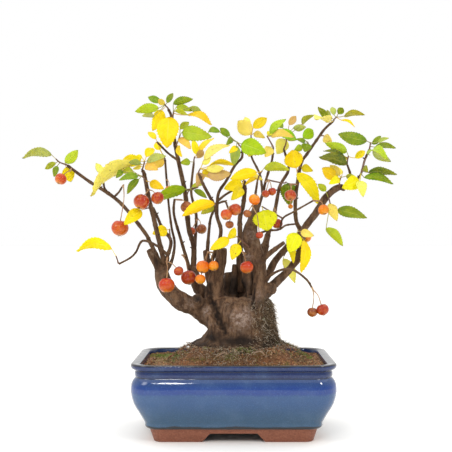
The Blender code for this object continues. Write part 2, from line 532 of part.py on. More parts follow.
def fuse(base, others):
    """Join the other objects into the base by one Boolean union, then remove them."""
    if not others:
        return
    gathered = bpy.data.collections.new(base.name + "_pieces")
    bpy.context.scene.collection.children.link(gathered)
    for piece in others:
        for owner in list(piece.users_collection):
            owner.objects.unlink(piece)
        gathered.objects.link(piece)
    union = base.modifiers.new("union", "BOOLEAN")
    union.operation = "UNION"
    union.operand_type = "COLLECTION"
    union.collection = gathered
    union.solver = "MANIFOLD"
    evaluated = base.evaluated_get(bpy.context.evaluated_depsgraph_get())
    joined = bpy.data.meshes.new_from_object(evaluated)
    base.modifiers.clear()
    drop_scraps(joined)
    looks = list(base.data.materials)
    base.data = joined
    base.data.materials.clear()
    for look in looks:
        base.data.materials.append(look)
    for piece in list(gathered.objects):
        bpy.data.objects.remove(piece)
    bpy.data.collections.remove(gathered)


def drop_scraps(mesh):
    """Remove the scraps that a union can leave loose beside the one body, and its shortest edges."""
    made = bmesh.new()
    made.from_mesh(mesh)
    bmesh.ops.triangulate(made, faces=made.faces)
    seen = set()
    loose = []
    for vert in made.verts:
        if vert in seen:
            continue
        group = {vert}
        queue = [vert]
        while queue:
            for edge in queue.pop().link_edges:
                for other in edge.verts:
                    if other not in group:
                        group.add(other)
                        queue.append(other)
        seen |= group
        if len(group) < SCRAP_POINTS:
            loose.extend(group)
    bmesh.ops.delete(made, geom=loose, context="VERTS")
    for sliver in SLIVERS:
        trial = made.copy()
        bmesh.ops.dissolve_degenerate(trial, dist=sliver * MM, edges=trial.edges)
        bmesh.ops.triangulate(trial, faces=trial.faces)
        if all(len(edge.link_faces) == 2 for edge in trial.edges):
            made.free()
            made = trial
            break
        trial.free()
    made.to_mesh(mesh)
    made.free()


def cut(base, cutter, solver="EXACT"):
    cutter.hide_render = True
    cutter.display_type = "WIRE"
    made = base.modifiers.new(cutter.name, "BOOLEAN")
    made.operation = "DIFFERENCE"
    made.object = cutter
    made.solver = solver


def rounded_ring(half_width, half_depth, height, radius):
    """A rounded rectangle at one height."""
    ring = []
    for corner, (side_x, side_y) in enumerate(((1, 1), (-1, 1), (-1, -1), (1, -1))):
        for step in range(CORNER_STEPS + 1):
            turn = math.radians(90 * (corner + step / CORNER_STEPS))
            ring.append(Vector((
                side_x * (half_width - radius) + radius * math.cos(turn),
                side_y * (half_depth - radius) + radius * math.sin(turn),
                height,
            )))
    return ring


def pot_ring(half_width, height, inset=0.0):
    """A level section of the pot: its depth is a share of its width, and its corners tighten downwards."""
    half_depth = half_width * POT_HALF_DEPTH / POT_HALF_WIDTH
    radius = CORNER_RADIUS - CORNER_TAPER * (POT_HALF_WIDTH - half_width)
    return rounded_ring(half_width - inset, half_depth - inset, height, radius - inset)


def notch_cutter(name, half_top, half_bottom, along_x, collection):
    """A prism that leaves the corner feet standing, run right through under the pot."""
    reach = POT_HALF_WIDTH + 20
    made = bmesh.new()
    bmesh.ops.create_cube(made, size=1.0)
    for vert in made.verts:
        half = half_top if vert.co.z > 0 else half_bottom
        across = math.copysign(half, vert.co.x)
        along = math.copysign(reach, vert.co.y)
        height = NOTCH_HEIGHT if vert.co.z > 0 else -5.0
        spot = (along, across, height) if along_x else (across, along, height)
        vert.co = Vector(spot) * MM
    return new_object(name, mesh_from(name, made), collection)


def build_pot(parts, cutters):
    profile = ((92.0, FLOOR_UNDERSIDE),) + POT_OUTSIDE + POT_INSIDE
    rings = [pot_ring(half, height) for half, height in profile]
    glaze = material("glaze", (0.12, 0.24, 0.42), 0.2)
    pot = new_object("pot", mesh_from("pot", loft(rings)), parts, glaze)
    cut(pot, notch_cutter("front_notch", FRONT_NOTCH_TOP, FRONT_NOTCH_BOTTOM, False, cutters))
    cut(pot, notch_cutter("side_notch", SIDE_NOTCH_TOP, SIDE_NOTCH_BOTTOM, True, cutters))
    for side in (-1, 1):
        bpy.ops.mesh.primitive_cylinder_add(
            vertices=16, radius=DRAIN_RADIUS * MM, depth=30 * MM,
            location=(side * DRAIN_X * MM, 0, 0.5 * (FLOOR_UNDERSIDE + FLOOR_TOP) * MM))
        drill = bpy.context.object
        drill.name = "drain_left" if side < 0 else "drain_right"
        bpy.context.collection.objects.unlink(drill)
        cutters.objects.link(drill)
        cut(pot, drill)
    return pot


def build_screen(name, centre_x, parts):
    """A square of plastic mesh over a drain hole: a thick grid with every other cell left out."""
    made = bmesh.new()
    half = 0.5 * SCREEN_SIZE
    bmesh.ops.create_grid(made, x_segments=SCREEN_CELLS, y_segments=SCREEN_CELLS, size=half * MM)
    cell = SCREEN_SIZE / SCREEN_CELLS
    holes = []
    for face in made.faces:
        middle = face.calc_center_median() / MM
        column = int((middle.x + half) // cell)
        row = int((middle.y + half) // cell)
        if column % 2 == 1 and row % 2 == 1:
            holes.append(face)
    bmesh.ops.delete(made, geom=holes, context="FACES")
    mesh = bpy.data.meshes.new(name)
    made.to_mesh(mesh)
    made.free()
    screen = new_object(name, mesh, parts, material("screen_plastic", (0.03, 0.03, 0.03), 0.6))
    screen.location = (centre_x * MM, 0, (FLOOR_TOP + GAP) * MM)
    skin = screen.modifiers.new("thickness", "SOLIDIFY")
    skin.thickness = SCREEN_THICKNESS * MM
    skin.offset = 1.0
    return screen


def soil_height(x, y):
    """The soil's surface: level by the wall, mounded up to the trunk, with low lumps."""
    reach = math.hypot((x - ROOT_X) / MOUND_HALF_WIDTH, y / MOUND_HALF_DEPTH)
    rise = 0.5 + 0.5 * math.cos(math.pi * min(1.0, max(0.0, (reach - MOUND_LEVEL) / (1.0 - MOUND_LEVEL))))
    lumps = 0.9 * math.sin(0.19 * x + 0.6) * math.cos(0.23 * y + 0.4) + 0.5 * math.sin(0.41 * x - 0.33 * y)
    return SOIL_EDGE_HEIGHT + (SOIL_MOUND_HEIGHT - SOIL_EDGE_HEIGHT) * rise + lumps


def root_ring(height, grow=0.0):
    ring = []
    for index in range(ROOT_SIDES):
        turn = math.tau * index / ROOT_SIDES
        ring.append(Vector((ROOT_X + (ROOT_HALF_WIDTH + grow) * math.cos(turn),
                            (ROOT_HALF_DEPTH + grow) * math.sin(turn), height)))
    return ring


def build_soil(parts, cutters):
    outer = [pot_ring(half, height, inset=GAP) for half, height in reversed(POT_INSIDE[1:])]
    outer[0] = [Vector((point.x, point.y, FLOOR_TOP + GAP)) for point in outer[0]]
    brim = pot_ring(POT_INSIDE[1][0] + 0.4, SOIL_EDGE_HEIGHT, inset=GAP)
    outer.append(brim)
    rings = outer + [
        [Vector((ROOT_X * (1 - share) + point.x * share, point.y * share, 0)) for point in brim]
        for share in (0.94, 0.86, 0.78, 0.70, 0.61, 0.35)
    ]
    for ring in rings[len(outer) - 1:-1]:
        for point in ring:
            point.z = soil_height(point.x, point.y)
    for point in rings[-1]:
        point.z = SOIL_MOUND_HEIGHT
    grain = material("soil_grain", (0.30, 0.17, 0.10), 0.95)
    soil = new_object("soil", mesh_from("soil", loft(rings)), parts, grain)
    socket = loft([root_ring(ROOT_BOTTOM - GAP, GAP + 0.4), root_ring(140, GAP + 0.4)])
    cut(soil, new_object("root_socket", mesh_from("root_socket", socket), cutters), "MANIFOLD")
    for side in (-1, 1):
        bpy.ops.mesh.primitive_cube_add(size=1.0, location=(side * DRAIN_X * MM, 0, FLOOR_TOP * MM))
        pocket = bpy.context.object
        pocket.name = "screen_pocket_left" if side < 0 else "screen_pocket_right"
        width = SCREEN_SIZE + 2 * GAP
        pocket.scale = (width * MM, width * MM, 2 * (SCREEN_THICKNESS + 2 * GAP) * MM)
        bpy.context.collection.objects.unlink(pocket)
        cutters.objects.link(pocket)
        cut(soil, pocket, "MANIFOLD")
    return soil


def trunk_rings():
    """The trunk's sections, from its root end in the soil up to its hollow top, with furrowed sides."""
    rings = [root_ring(ROOT_BOTTOM), root_ring(SOIL_MOUND_HEIGHT - 2.0)]
    for y_px, left_px, right_px, thickness in TRUNK:
        left = at(left_px, y_px, 0)
        right = at(right_px, y_px, 0)
        middle = 0.5 * (left + right)
        half = 0.5 * (right.x - left.x)
        ring = []
        for index in range(ROOT_SIDES):
            turn = math.tau * index / ROOT_SIDES
            furrow = 1 + 0.05 * math.sin(3 * turn + 0.02 * y_px) + 0.035 * math.sin(5 * turn + 1.3)
            if abs(math.cos(turn)) > 0.9:
                furrow = 1.0
            ring.append(Vector((middle.x + half * furrow * math.cos(turn),
                                0.5 * thickness * furrow * math.sin(turn), middle.z)))
        rings.append(ring)
    crown = rings[-1]
    centre = sum(crown, Vector()) / len(crown)
    for shrink, drop in ((0.72, 1.0), (0.5, 9.0)):
        rings.append([centre + (point - centre) * shrink + Vector((0, 0, -drop)) for point in crown])
    return rings


def build_wood(parts):
    bark = material("bark", (0.23, 0.17, 0.12), 0.85)
    wood = new_object("wood", mesh_from("wood", loft(trunk_rings())), parts, bark)
    pieces = []
    for table, sides in ((OLD_WOOD, 8), (SHOOTS, 6)):
        for name, route in table.items():
            thin = sides == 6 and route[-1][3] < 1.45
            points = [(on_plant(x, y, depth), radius) for x, y, depth, radius in route]
            pieces.append(tube(name, points, 4 if thin else sides, parts))
    fuse(wood, pieces)
    return wood


def nearest_on_wood(place):
    """The wood's nearest centre point: its place, radius, direction and share along its stretch."""
    best = None
    least = math.inf
    for table in (OLD_WOOD, SHOOTS):
        for route in table.values():
            spots = [(on_plant(x, y, depth), radius) for x, y, depth, radius in route]
            for (start, r0), (end, r1) in zip(spots, spots[1:]):
                line = end - start
                share = min(1.0, max(0.0, (place - start).dot(line) / line.length_squared))
                spot = start + line * share
                distance = (place - spot).length
                if distance < least:
                    least = distance
                    best = (spot, r0 + (r1 - r0) * share, line.normalized(), share)
    return best


def seat(start, towards):
    """Where a shoot or spur starts: a small gap off the wood's side, or off the flat end of a cut twig."""
    spot, radius, along, share = nearest_on_wood(start)
    away = (towards - spot).normalized()
    if share >= 1.0 and away.dot(along) > 0.6:
        return spot + along * GAP, along
    across = (away - along * away.dot(along)).normalized()
    return spot + across * (radius + GAP), across


def leaf_frame(base, tip, seen_width, turn_side):
    """A leaf's length, real width, and the directions along it, across its blade and out of its face."""
    along = tip - base
    length = along.length
    along.normalize()
    width = max(seen_width, LEAF_BREADTH * length)
    across = along.cross(Vector((0, 1, 0)))
    if across.length < 0.2:
        across = along.cross(Vector((1, 0, 0)))
    across.normalize()
    roll = math.acos(min(1.0, seen_width / width)) * turn_side
    across = Matrix.Rotation(roll, 3, along) @ across
    face = across.cross(along).normalized()
    if face.z < 0:
        face = -face
    return length, width, along, across, face


# Along the blade: share of its length, half-width as a share of the widest, and the forward lean of a tooth
BLADE = ((0.0, 0.12, 0.0), (0.16, 0.84, 0.08), (0.36, 0.78, 0.0), (0.52, 1.0, 0.09), (0.74, 0.58, 0.0))


def leaf_mesh(root, base, tip, seen_width, arch, turn_side, grow=0.0, stalk=True):
    """One leaf and its stalk: a thin diamond section lofted from shoot to tip, with toothed edges."""
    length, width, along, across, face = leaf_frame(base, tip, seen_width, turn_side)
    run = (base - root).normalized()
    side = across - run * across.dot(run)
    side = side.normalized() if side.length > 0.15 else across
    handed = 1.0 if across.cross(along).dot(face) > 0 else -1.0
    up = side.cross(run).normalized() * handed
    radius = STALK_RADIUS + grow
    rings = []
    if stalk:
        rings.append([root - side * radius, root + up * radius, root + side * radius, root - up * radius])
    for share, half, lean in BLADE if stalk else BLADE[1:]:
        bow = face * (arch * length * math.sin(math.pi * min(1.0, share * 1.08)))
        rib = base + along * (length * share) + bow
        reach = 0.5 * width * half + grow
        lift = face * (LEAF_CUP * reach)
        thick = face * (0.5 * LEAF_THICKNESS * (1.0 - 0.45 * share) + grow)
        ahead = along * (length * lean)
        left = rib - across * reach + lift + ahead
        right = rib + across * reach + lift + ahead
        rings.append([left, rib + thick, right, rib - thick])
    made = loft(rings, cap_end=False)
    point = made.verts.new((tip + along * grow) * MM)
    made.verts.ensure_lookup_table()
    last = made.verts[-5:-1]
    for index in range(4):
        made.faces.new((last[index], last[(index + 1) % 4], point))
    bmesh.ops.triangulate(made, faces=made.faces, quad_method="FIXED")
    return made


def tree_of_object(thing):
    made = bmesh.new()
    made.from_mesh(thing.data)
    made.transform(thing.matrix_world)
    found = BVHTree.FromBMesh(made)
    made.free()
    return found


def clear_of(made, solids):
    mine = BVHTree.FromBMesh(made)
    made.free()
    return not any(mine.overlap(other) for other in solids)


def build_bunch(name, spec, parts):
    """Crabapples on their stalks, which spring from one short spur beside the wood."""
    (spur_x, spur_y, spur_depth), fruits = spec
    end = on_plant(spur_x, spur_y, spur_depth)
    start, away = seat(end, end)
    if (end - start).length < SPUR_LENGTH:
        end = start + away * SPUR_LENGTH
    colour = fruits[0][4]
    spur = [(spot, SPUR_RADIUS) for spot in (start, start + away * SQUARE_START, end)]
    bunch = tube(name, spur, 4, parts)
    bunch.data.materials.append(material("fruit_" + colour, COLOURS[colour], 0.3))
    pieces = []
    for number, (x_px, y_px, width_px, depth, _) in enumerate(fruits):
        centre = on_plant(x_px, y_px, depth)
        radius = 0.5 * px_to_mm(width_px, centre.y)
        hang = (centre - end).normalized()
        hang = (hang + Vector((0, 0, -0.6))).normalized() if centre.z < end.z else hang
        top = centre - hang * radius * 0.8
        bend = end.lerp(top, 0.5) + Vector((0.06, -0.04, 0.10)) * (top - end).length
        route = [(end - (end - start).normalized() * 0.8, 0.9), (bend, 0.75), (top + hang * 2.5, 0.8)]
        pieces.append(tube(f"{name}_stalk_{number}", route, 4, parts))
        made = bmesh.new()
        bmesh.ops.create_uvsphere(made, u_segments=8, v_segments=5, radius=1.0)
        for vert in made.verts:
            if math.hypot(vert.co.x, vert.co.y) < 0.01:
                vert.co.z *= FRUIT_POLE
            vert.co.z *= FRUIT_HEIGHT
        turn = hang.to_track_quat("Z", "Y").to_matrix()
        for vert in made.verts:
            vert.co = (centre + turn @ (vert.co * radius)) * MM
        pieces.append(new_object(f"{name}_fruit_{number}", mesh_from(name, made), parts))
    fuse(bunch, pieces)
    return bunch


# Ways a leaf may bend from its place in the table: its tip's move in depth and in height, in mm
BENDS = [(0, 0)] + [
    (depth * side, rise)
    for depth in (8, 16, 24, 32, 42, 54)
    for rise in (0, 7, -7)
    for side in (-1, 1)
] + [(0, rise) for rise in (10, -10, 18, -18)]


def leaf_places(leaf, root, bend):
    """Where a leaf's blade starts and ends, once bent."""
    x0, y0, x1, y1, _, lean, _, _ = leaf
    move, rise = bend
    base = at(x0, y0, root.y + 0.3 * move) + Vector((0, 0, 0.3 * rise))
    tip = at(x1, y1, root.y + lean + move) + Vector((0, 0, rise))
    if (base - root).normalized().dot((tip - base).normalized()) < -0.25:
        base = root.lerp(tip, 0.15)
    return base, tip


def build_spray(name, spec, solids, parts):
    """A leafy spray: its shoot, and leaves on their stalks. A leaf bends clear of its neighbours."""
    shoot, leaves = spec
    spots = [on_plant(*point) for point in shoot]
    spots[0], away = seat(spots[0], spots[1])
    route = [spots[0], spots[0] + away * SQUARE_START] + spots[1:]
    spray = tube(name, [(spot, SHOOT_RADIUS) for spot in route], 4, parts)
    colour = leaves[0][7]
    spray.data.materials.append(material("leaf_" + colour, COLOURS[colour], 0.5))
    pieces = []
    siblings = []
    for number, leaf in enumerate(leaves):
        turn_side = 1 if number % 2 else -1
        root = root_on_shoot(leaf[0], leaf[1], spots)
        size = (px_to_mm(leaf[4], root.y), leaf[6], turn_side)
        places = [leaf_places(leaf, root, bend) for bend in BENDS]
        clear = [
            place for place in places
            if clear_of(leaf_mesh(root, *place, *size, CLEARANCE), solids)
        ]
        apart = [
            place for place in clear
            if clear_of(leaf_mesh(root, *place, *size, stalk=False), siblings)
        ]
        if not clear:
            continue
        base, tip = (apart or clear)[0]
        siblings.append(BVHTree.FromBMesh(leaf_mesh(root, base, tip, *size, stalk=False)))
        made = leaf_mesh(root, base, tip, *size)
        pieces.append(new_object(f"{name}_leaf_{number}", mesh_from(name, made), parts))
    fuse(spray, pieces)
    return spray


def root_on_shoot(x_px, y_px, spots):
    """The point of a shoot nearest to a pixel, which a leaf's stalk springs from."""
    best = None
    for start, end in zip(spots, spots[1:]):
        for step in range(9):
            spot = start.lerp(end, 0.25 + 0.09 * step)
            distance = (spot - at(x_px, y_px, spot.y)).length
            if best is None or distance < best[0]:
                best = (distance, spot)
    return best[1]


def stand_on_origin(parts):
    """Shift every piece so that the middle of the whole object's footprint is at the origin."""
    bpy.context.view_layer.update()
    spots = [thing.matrix_world @ Vector(corner) for thing in parts.objects for corner in thing.bound_box]
    middle = Vector((0.0, 0.0, 0.0))
    for axis in (0, 1):
        reach = [spot[axis] for spot in spots]
        middle[axis] = 0.5 * (min(reach) + max(reach))
    for thing in bpy.data.objects:
        thing.location -= middle


def main():
    for thing in list(bpy.data.objects):
        bpy.data.objects.remove(thing)
    parts = bpy.data.collections.new("crabapple_bonsai")
    cutters = bpy.data.collections.new("cutters")
    bpy.context.scene.collection.children.link(parts)
    bpy.context.scene.collection.children.link(cutters)
    build_pot(parts, cutters)
    build_soil(parts, cutters)
    build_screen("drain_screen_left", -DRAIN_X, parts)
    build_screen("drain_screen_right", DRAIN_X, parts)
    wood = build_wood(parts)
    solids = [tree_of_object(wood)]
    for name, spec in BUNCHES.items():
        solids.append(tree_of_object(build_bunch(name, spec, parts)))
    for name, spec in SPRAYS.items():
        solids.append(tree_of_object(build_spray(name, spec, solids, parts)))
    stand_on_origin(parts)


main()
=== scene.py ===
import math
import random

import bmesh
import bpy
from mathutils import Matrix, Vector, kdtree, noise
from mathutils.bvhtree import BVHTree


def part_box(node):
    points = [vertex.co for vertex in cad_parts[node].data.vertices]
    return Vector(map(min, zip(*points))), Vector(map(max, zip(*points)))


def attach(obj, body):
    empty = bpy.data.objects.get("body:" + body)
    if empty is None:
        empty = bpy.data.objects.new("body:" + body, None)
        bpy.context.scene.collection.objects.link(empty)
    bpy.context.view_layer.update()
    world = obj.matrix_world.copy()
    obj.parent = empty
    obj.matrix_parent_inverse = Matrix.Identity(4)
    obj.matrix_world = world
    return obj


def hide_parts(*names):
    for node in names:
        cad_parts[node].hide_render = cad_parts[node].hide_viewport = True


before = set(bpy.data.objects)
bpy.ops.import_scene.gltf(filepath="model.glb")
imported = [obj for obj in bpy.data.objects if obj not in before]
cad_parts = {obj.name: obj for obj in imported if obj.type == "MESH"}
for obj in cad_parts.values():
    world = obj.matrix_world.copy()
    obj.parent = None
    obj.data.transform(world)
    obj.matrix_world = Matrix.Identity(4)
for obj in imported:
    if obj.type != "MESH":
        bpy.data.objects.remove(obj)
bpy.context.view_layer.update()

MM = 0.001
POT_LOW, POT_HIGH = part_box("pot")
POT_MIDDLE = 0.5 * (POT_LOW + POT_HIGH) / MM

# Reference view: a level camera in front of the pot, looking along +Y
FOCAL_PX = 878.0
EYE_X_PX = 233.7
EYE_Y_PX = 240.0
EYE_DISTANCE = 1211.5
EYE_HEIGHT = 261.5
FRAME_PX = 452
SENSOR = 36.0

# Pot
POT_HALF_WIDTH = 134.0
POT_HALF_DEPTH = 97.5
POT_HEIGHT = 101.8
FOOT_HEIGHT = 17.0
FLOOR_UNDERSIDE = 20.0
FLOOR_TOP = 30.0
CORNER_RADIUS = 29.0
RIM_ROUNDING = 0.9
SHARP_FROM = math.radians(50)
NOTCH_HEIGHT = 11.5
NOTCHES = ((False, 30.6, 41.4), (True, 20.0, 28.0))
DRAIN_RADIUS = 9.0
DRAIN_X = 55.0
DRAIN_SIDES = 40
POT_OUTSIDE = (
    (93.0, 0.0), (103.4, 0.0), (104.3, 0.8), (109.6, FOOT_HEIGHT - 0.6), (110.4, FOOT_HEIGHT), (112.6, 17.4),
    (114.8, 18.8), (115.8, 21.0), (115.6, 23.4), (116.2, 25.6), (118.8, 30.0), (122.6, 36.6), (127.0, 43.4),
    (130.7, 50.6), (132.9, 58.4), (POT_HALF_WIDTH, 65.5), (133.9, 70.0), (133.2, 75.5), (131.2, 80.0),
    (129.0, 82.6), (127.7, 83.8), (127.6, 84.4), (128.5, 85.4), (128.9, 87.5), (128.7, 91.0), (127.9, 92.5),
    (128.0, 93.2), (130.6, 94.0), (132.8, 95.4), (POT_HALF_WIDTH, 97.8), (133.8, 100.2), (132.9, 101.5),
    (131.2, POT_HEIGHT),
)
POT_INSIDE = (
    (123.4, POT_HEIGHT - 0.5), (122.2, POT_HEIGHT - 1.5), (121.7, 98.0), (121.3, 84.0), (120.8, 66.0),
    (114.8, 44.0), (107.0, FLOOR_TOP),
)

# Soil, litter and moss
SOIL_EDGE_HEIGHT = 95.0
SOIL_MOUND_HEIGHT = 117.0
MOUND_HALF_WIDTH = 108.0
MOUND_HALF_DEPTH = 80.0
MOUND_LEVEL = 0.6
SOIL_BRIM = 121.6
SOIL_SKIRT = 86.0
SOIL_RINGS = 53
SOIL_HALF_WIDTH = 119
SOIL_HALF_DEPTH = 86
BARE_HALF_WIDTH = 58.0
BARE_HALF_DEPTH = 38.0
CORNER_FROM_X = 104
CORNER_FROM_Y = 72
GRAINS = 4200
GRASS_ON_MOUND = 1500
GRASS_IN_FRONT = 420
GRASS_ON_TRUNK = 1300
MOSS_TUFTS = 5200
# Mossy patches: middle, then half-width and half-depth in mm
MOSS_PATCHES = ((-97, -74, 26, 9), (-92, 42, 34, 22), (14, -52, 16, 7), (-2, -62, 9, 6), (60, 60, 30, 16),
                (98, 20, 14, 34))
# Fallen twigs: the x of both ends, the y and how far the twig bows
FALLEN_TWIGS = ((26, 41, -58, 1.5), (-24, -8, -60, 1.0))
GRAIN_TONES = ((0.24, 0.095, 0.042), (0.16, 0.062, 0.03), (0.36, 0.17, 0.075), (0.09, 0.045, 0.025),
               (0.42, 0.27, 0.15))
GRASS_TONES = ((0.46, 0.35, 0.23), (0.30, 0.20, 0.11), (0.58, 0.48, 0.36), (0.16, 0.09, 0.045),
               (0.09, 0.05, 0.025))
MOSS_TONES = ((0.10, 0.16, 0.015), (0.16, 0.24, 0.02), (0.07, 0.10, 0.012), (0.22, 0.30, 0.03),
              (0.16, 0.14, 0.03))

# Wood
NO_MARKS = (0.0, 0.0, 0.0)
NO_SHADE = (0.0, 0.0, 0.0)
ROOT_X = 7.0
TRUNK_SIDES = 48
TRUNK_SKIRT = 106.0
SKIN_VOXEL = 1.25
CARVED_VOXEL = 1.2
# The hollow top: its middle's pixel and depth, then its reach in width, depth and height in mm
HOLLOW = ((239, 290, -14), (10, 18, 11))
SHOOT_RADIUS = 1.2
GAP = 0.3
CROWN_SPREAD = 0.6
CROWN_SPREAD_FROM = 275.0
CROWN_SPREAD_OVER = 60.0

# Leaves and fruit
SIDE_VEINS = 9.0
VEIN_SLANT = 2.6
SHORTEST_SPUR = 2.5
BENDS = [(0, 0)] + [
    (depth * side, rise)
    for depth in (8, 16, 24, 32, 42, 54)
    for rise in (0, 7, -7)
    for side in (-1, 1)
] + [(0, rise) for rise in (10, -10, 18, -18)]
LEAF_ROWS = 22
LEAF_COLUMNS = 5
LEAF_THICKNESS = 0.35
LEAF_MISS = 0.5
LEAF_COLOURS = {
    "yellow": (0.92, 0.69, 0.001), "pale": (0.84, 0.68, 0.14), "gold": (0.76, 0.50, 0.004),
    "ochre": (0.66, 0.46, 0.08), "orange": (0.76, 0.42, 0.08), "brown": (0.54, 0.27, 0.13),
    "green": (0.085, 0.20, 0.008), "dark": (0.040, 0.10, 0.016), "bright": (0.20, 0.44, 0.001),
    "light": (0.33, 0.44, 0.02), "olive": (0.22, 0.25, 0.015), "grey": (0.30, 0.37, 0.10),
    "spotted": (0.76, 0.74, 0.001),
}
FRUIT_RINGS = 22
FRUIT_SIDES = 28
FRUIT_COLOURS = {
    "red": ((0.30, 0.010, 0.005), (0.50, 0.08, 0.015)),
    "scarlet": ((0.44, 0.020, 0.004), (0.60, 0.15, 0.02)),
    "amber": ((0.66, 0.10, 0.003), (0.78, 0.30, 0.004)),
    "russet": ((0.18, 0.035, 0.014), (0.36, 0.12, 0.03)),
}
DRY_MARKS = (0.0, 0.0, 1.0)
DRY_STALK = (0.25, 0.12, 0.06)
CALYX_MARKS = (1.0, 0.0, 1.0)
CALYX = (0.2, 0.1, 0.05)
SHOOT_BARK = (0.16, 0.07, 0.04)

# Studio: a floor and a sky that is greyer in front, then lights by place, size and power in watts, in metres
FLOOR_SIZE = 30.0
FLOOR_TONE = (0.94, 0.93, 0.90)
SKY_FRONT = (0.60, 0.60, 0.60)
SKY_BEHIND = (1.0, 1.0, 1.0)
ROOF_LIGHT = 1.3
ROOF_SPREAD = math.radians(100)
LIGHT_AIM = (0.0, 0.0, 0.22)
LIGHTS = {
    "front_window": ((-0.225, -1.3, 0.95), (0.07, 0.20), 2.6),
    "left_panel": ((-1.3, -1.0, 1.1), (0.7, 0.6), 7.0),
    "right_window": ((1.0, -1.1, 1.05), (0.14, 0.35), 5.0),
}

# Old wood: pixel, depth in mm and radius in mm at each point. A route starts inside what it grows from.
OLD_WOOD = {
    "left_limb": ((216, 322, 0, 15), (198, 308.5, -4, 12.5), (180, 300.5, -8, 12), (165, 285, -6, 12),
        (160.5, 265, -4, 8)),
    "left_limb_knot": ((204, 306, -8, 8), (196.5, 298.5, -26, 7)),
    "left_root_ridge": ((203, 310, -8, 9.5), (212.5, 321, -20, 9), (217.5, 333, -26, 9),
        (221, 343, -28, 9)),
    "left_stem": ((216, 314, 0, 15), (214, 294, -4, 13), (217, 276, -6, 10), (221, 260, -8, 8),
        (222, 248, -8, 7)),
    "back_mass_left": ((231, 310, 14, 16), (231, 288, 20, 12), (230, 272, 20, 8)),
    "back_mass_right": ((248, 306, 14, 15), (247, 284, 18, 12), (247, 266, 16, 8)),
    "hollow_stem": ((234, 298, 2, 6), (234.5, 276, 4, 4.6), (235, 264, 6, 3.8)),
    "centre_stem": ((246, 302, -8, 10), (246.5, 286, -9, 7.4), (247, 270, -8, 7), (250, 254, -8, 9)),
    "front_burl": ((240, 300, -8, 12), (240, 309, -17, 20), (241, 320, -21, 24), (240.5, 331, -20, 23),
        (239, 341, -16, 18)),
    "back_limb": ((222, 312, 12, 13), (207, 297, 20, 10), (196.5, 284, 22, 8), (193.5, 266, 20, 6.5)),
    "left_cut_stub": ((166, 280, -8, 7), (157.4, 266, -8, 5.5), (148.5, 249, -8, 4.5)),
    "thick_cut_stub": ((222, 300, 6, 9), (210, 280, 6, 6), (206, 250, 6, 4.5)),
    "woody_limb": ((256, 322, -16, 9), (258, 306, -20, 10), (259.5, 290, -18, 9.5), (260, 272, -12, 9),
        (256, 255, -10, 11.5), (251, 243, -10, 13), (250, 232, -11, 10.5), (252.5, 222, -13, 8),
        (255, 212, -14, 6), (257, 204, -14, 4.5)),
    "right_flat_stub": ((255, 300, -4, 11), (268, 290, -14, 9), (272, 288, -22, 8)),
    "right_limb": ((254, 300, 0, 11), (272, 286, 0, 6.5), (290.6, 268, 2, 5), (299, 255, 4, 6.2),
        (301.5, 240, 5, 5), (304.6, 228, 4, 4.8), (316, 213, 2, 5), (327, 196, 0, 5.2), (339, 187, -3, 4.6),
        (344.9, 189.3, -6, 4)),
    "upper_right_limb": ((250, 296, 8, 10), (265, 279.5, 14, 5.5), (276, 259.7, 18, 5),
        (287.4, 247, 20, 4.6), (303, 230.5, 24, 4.4)),
}
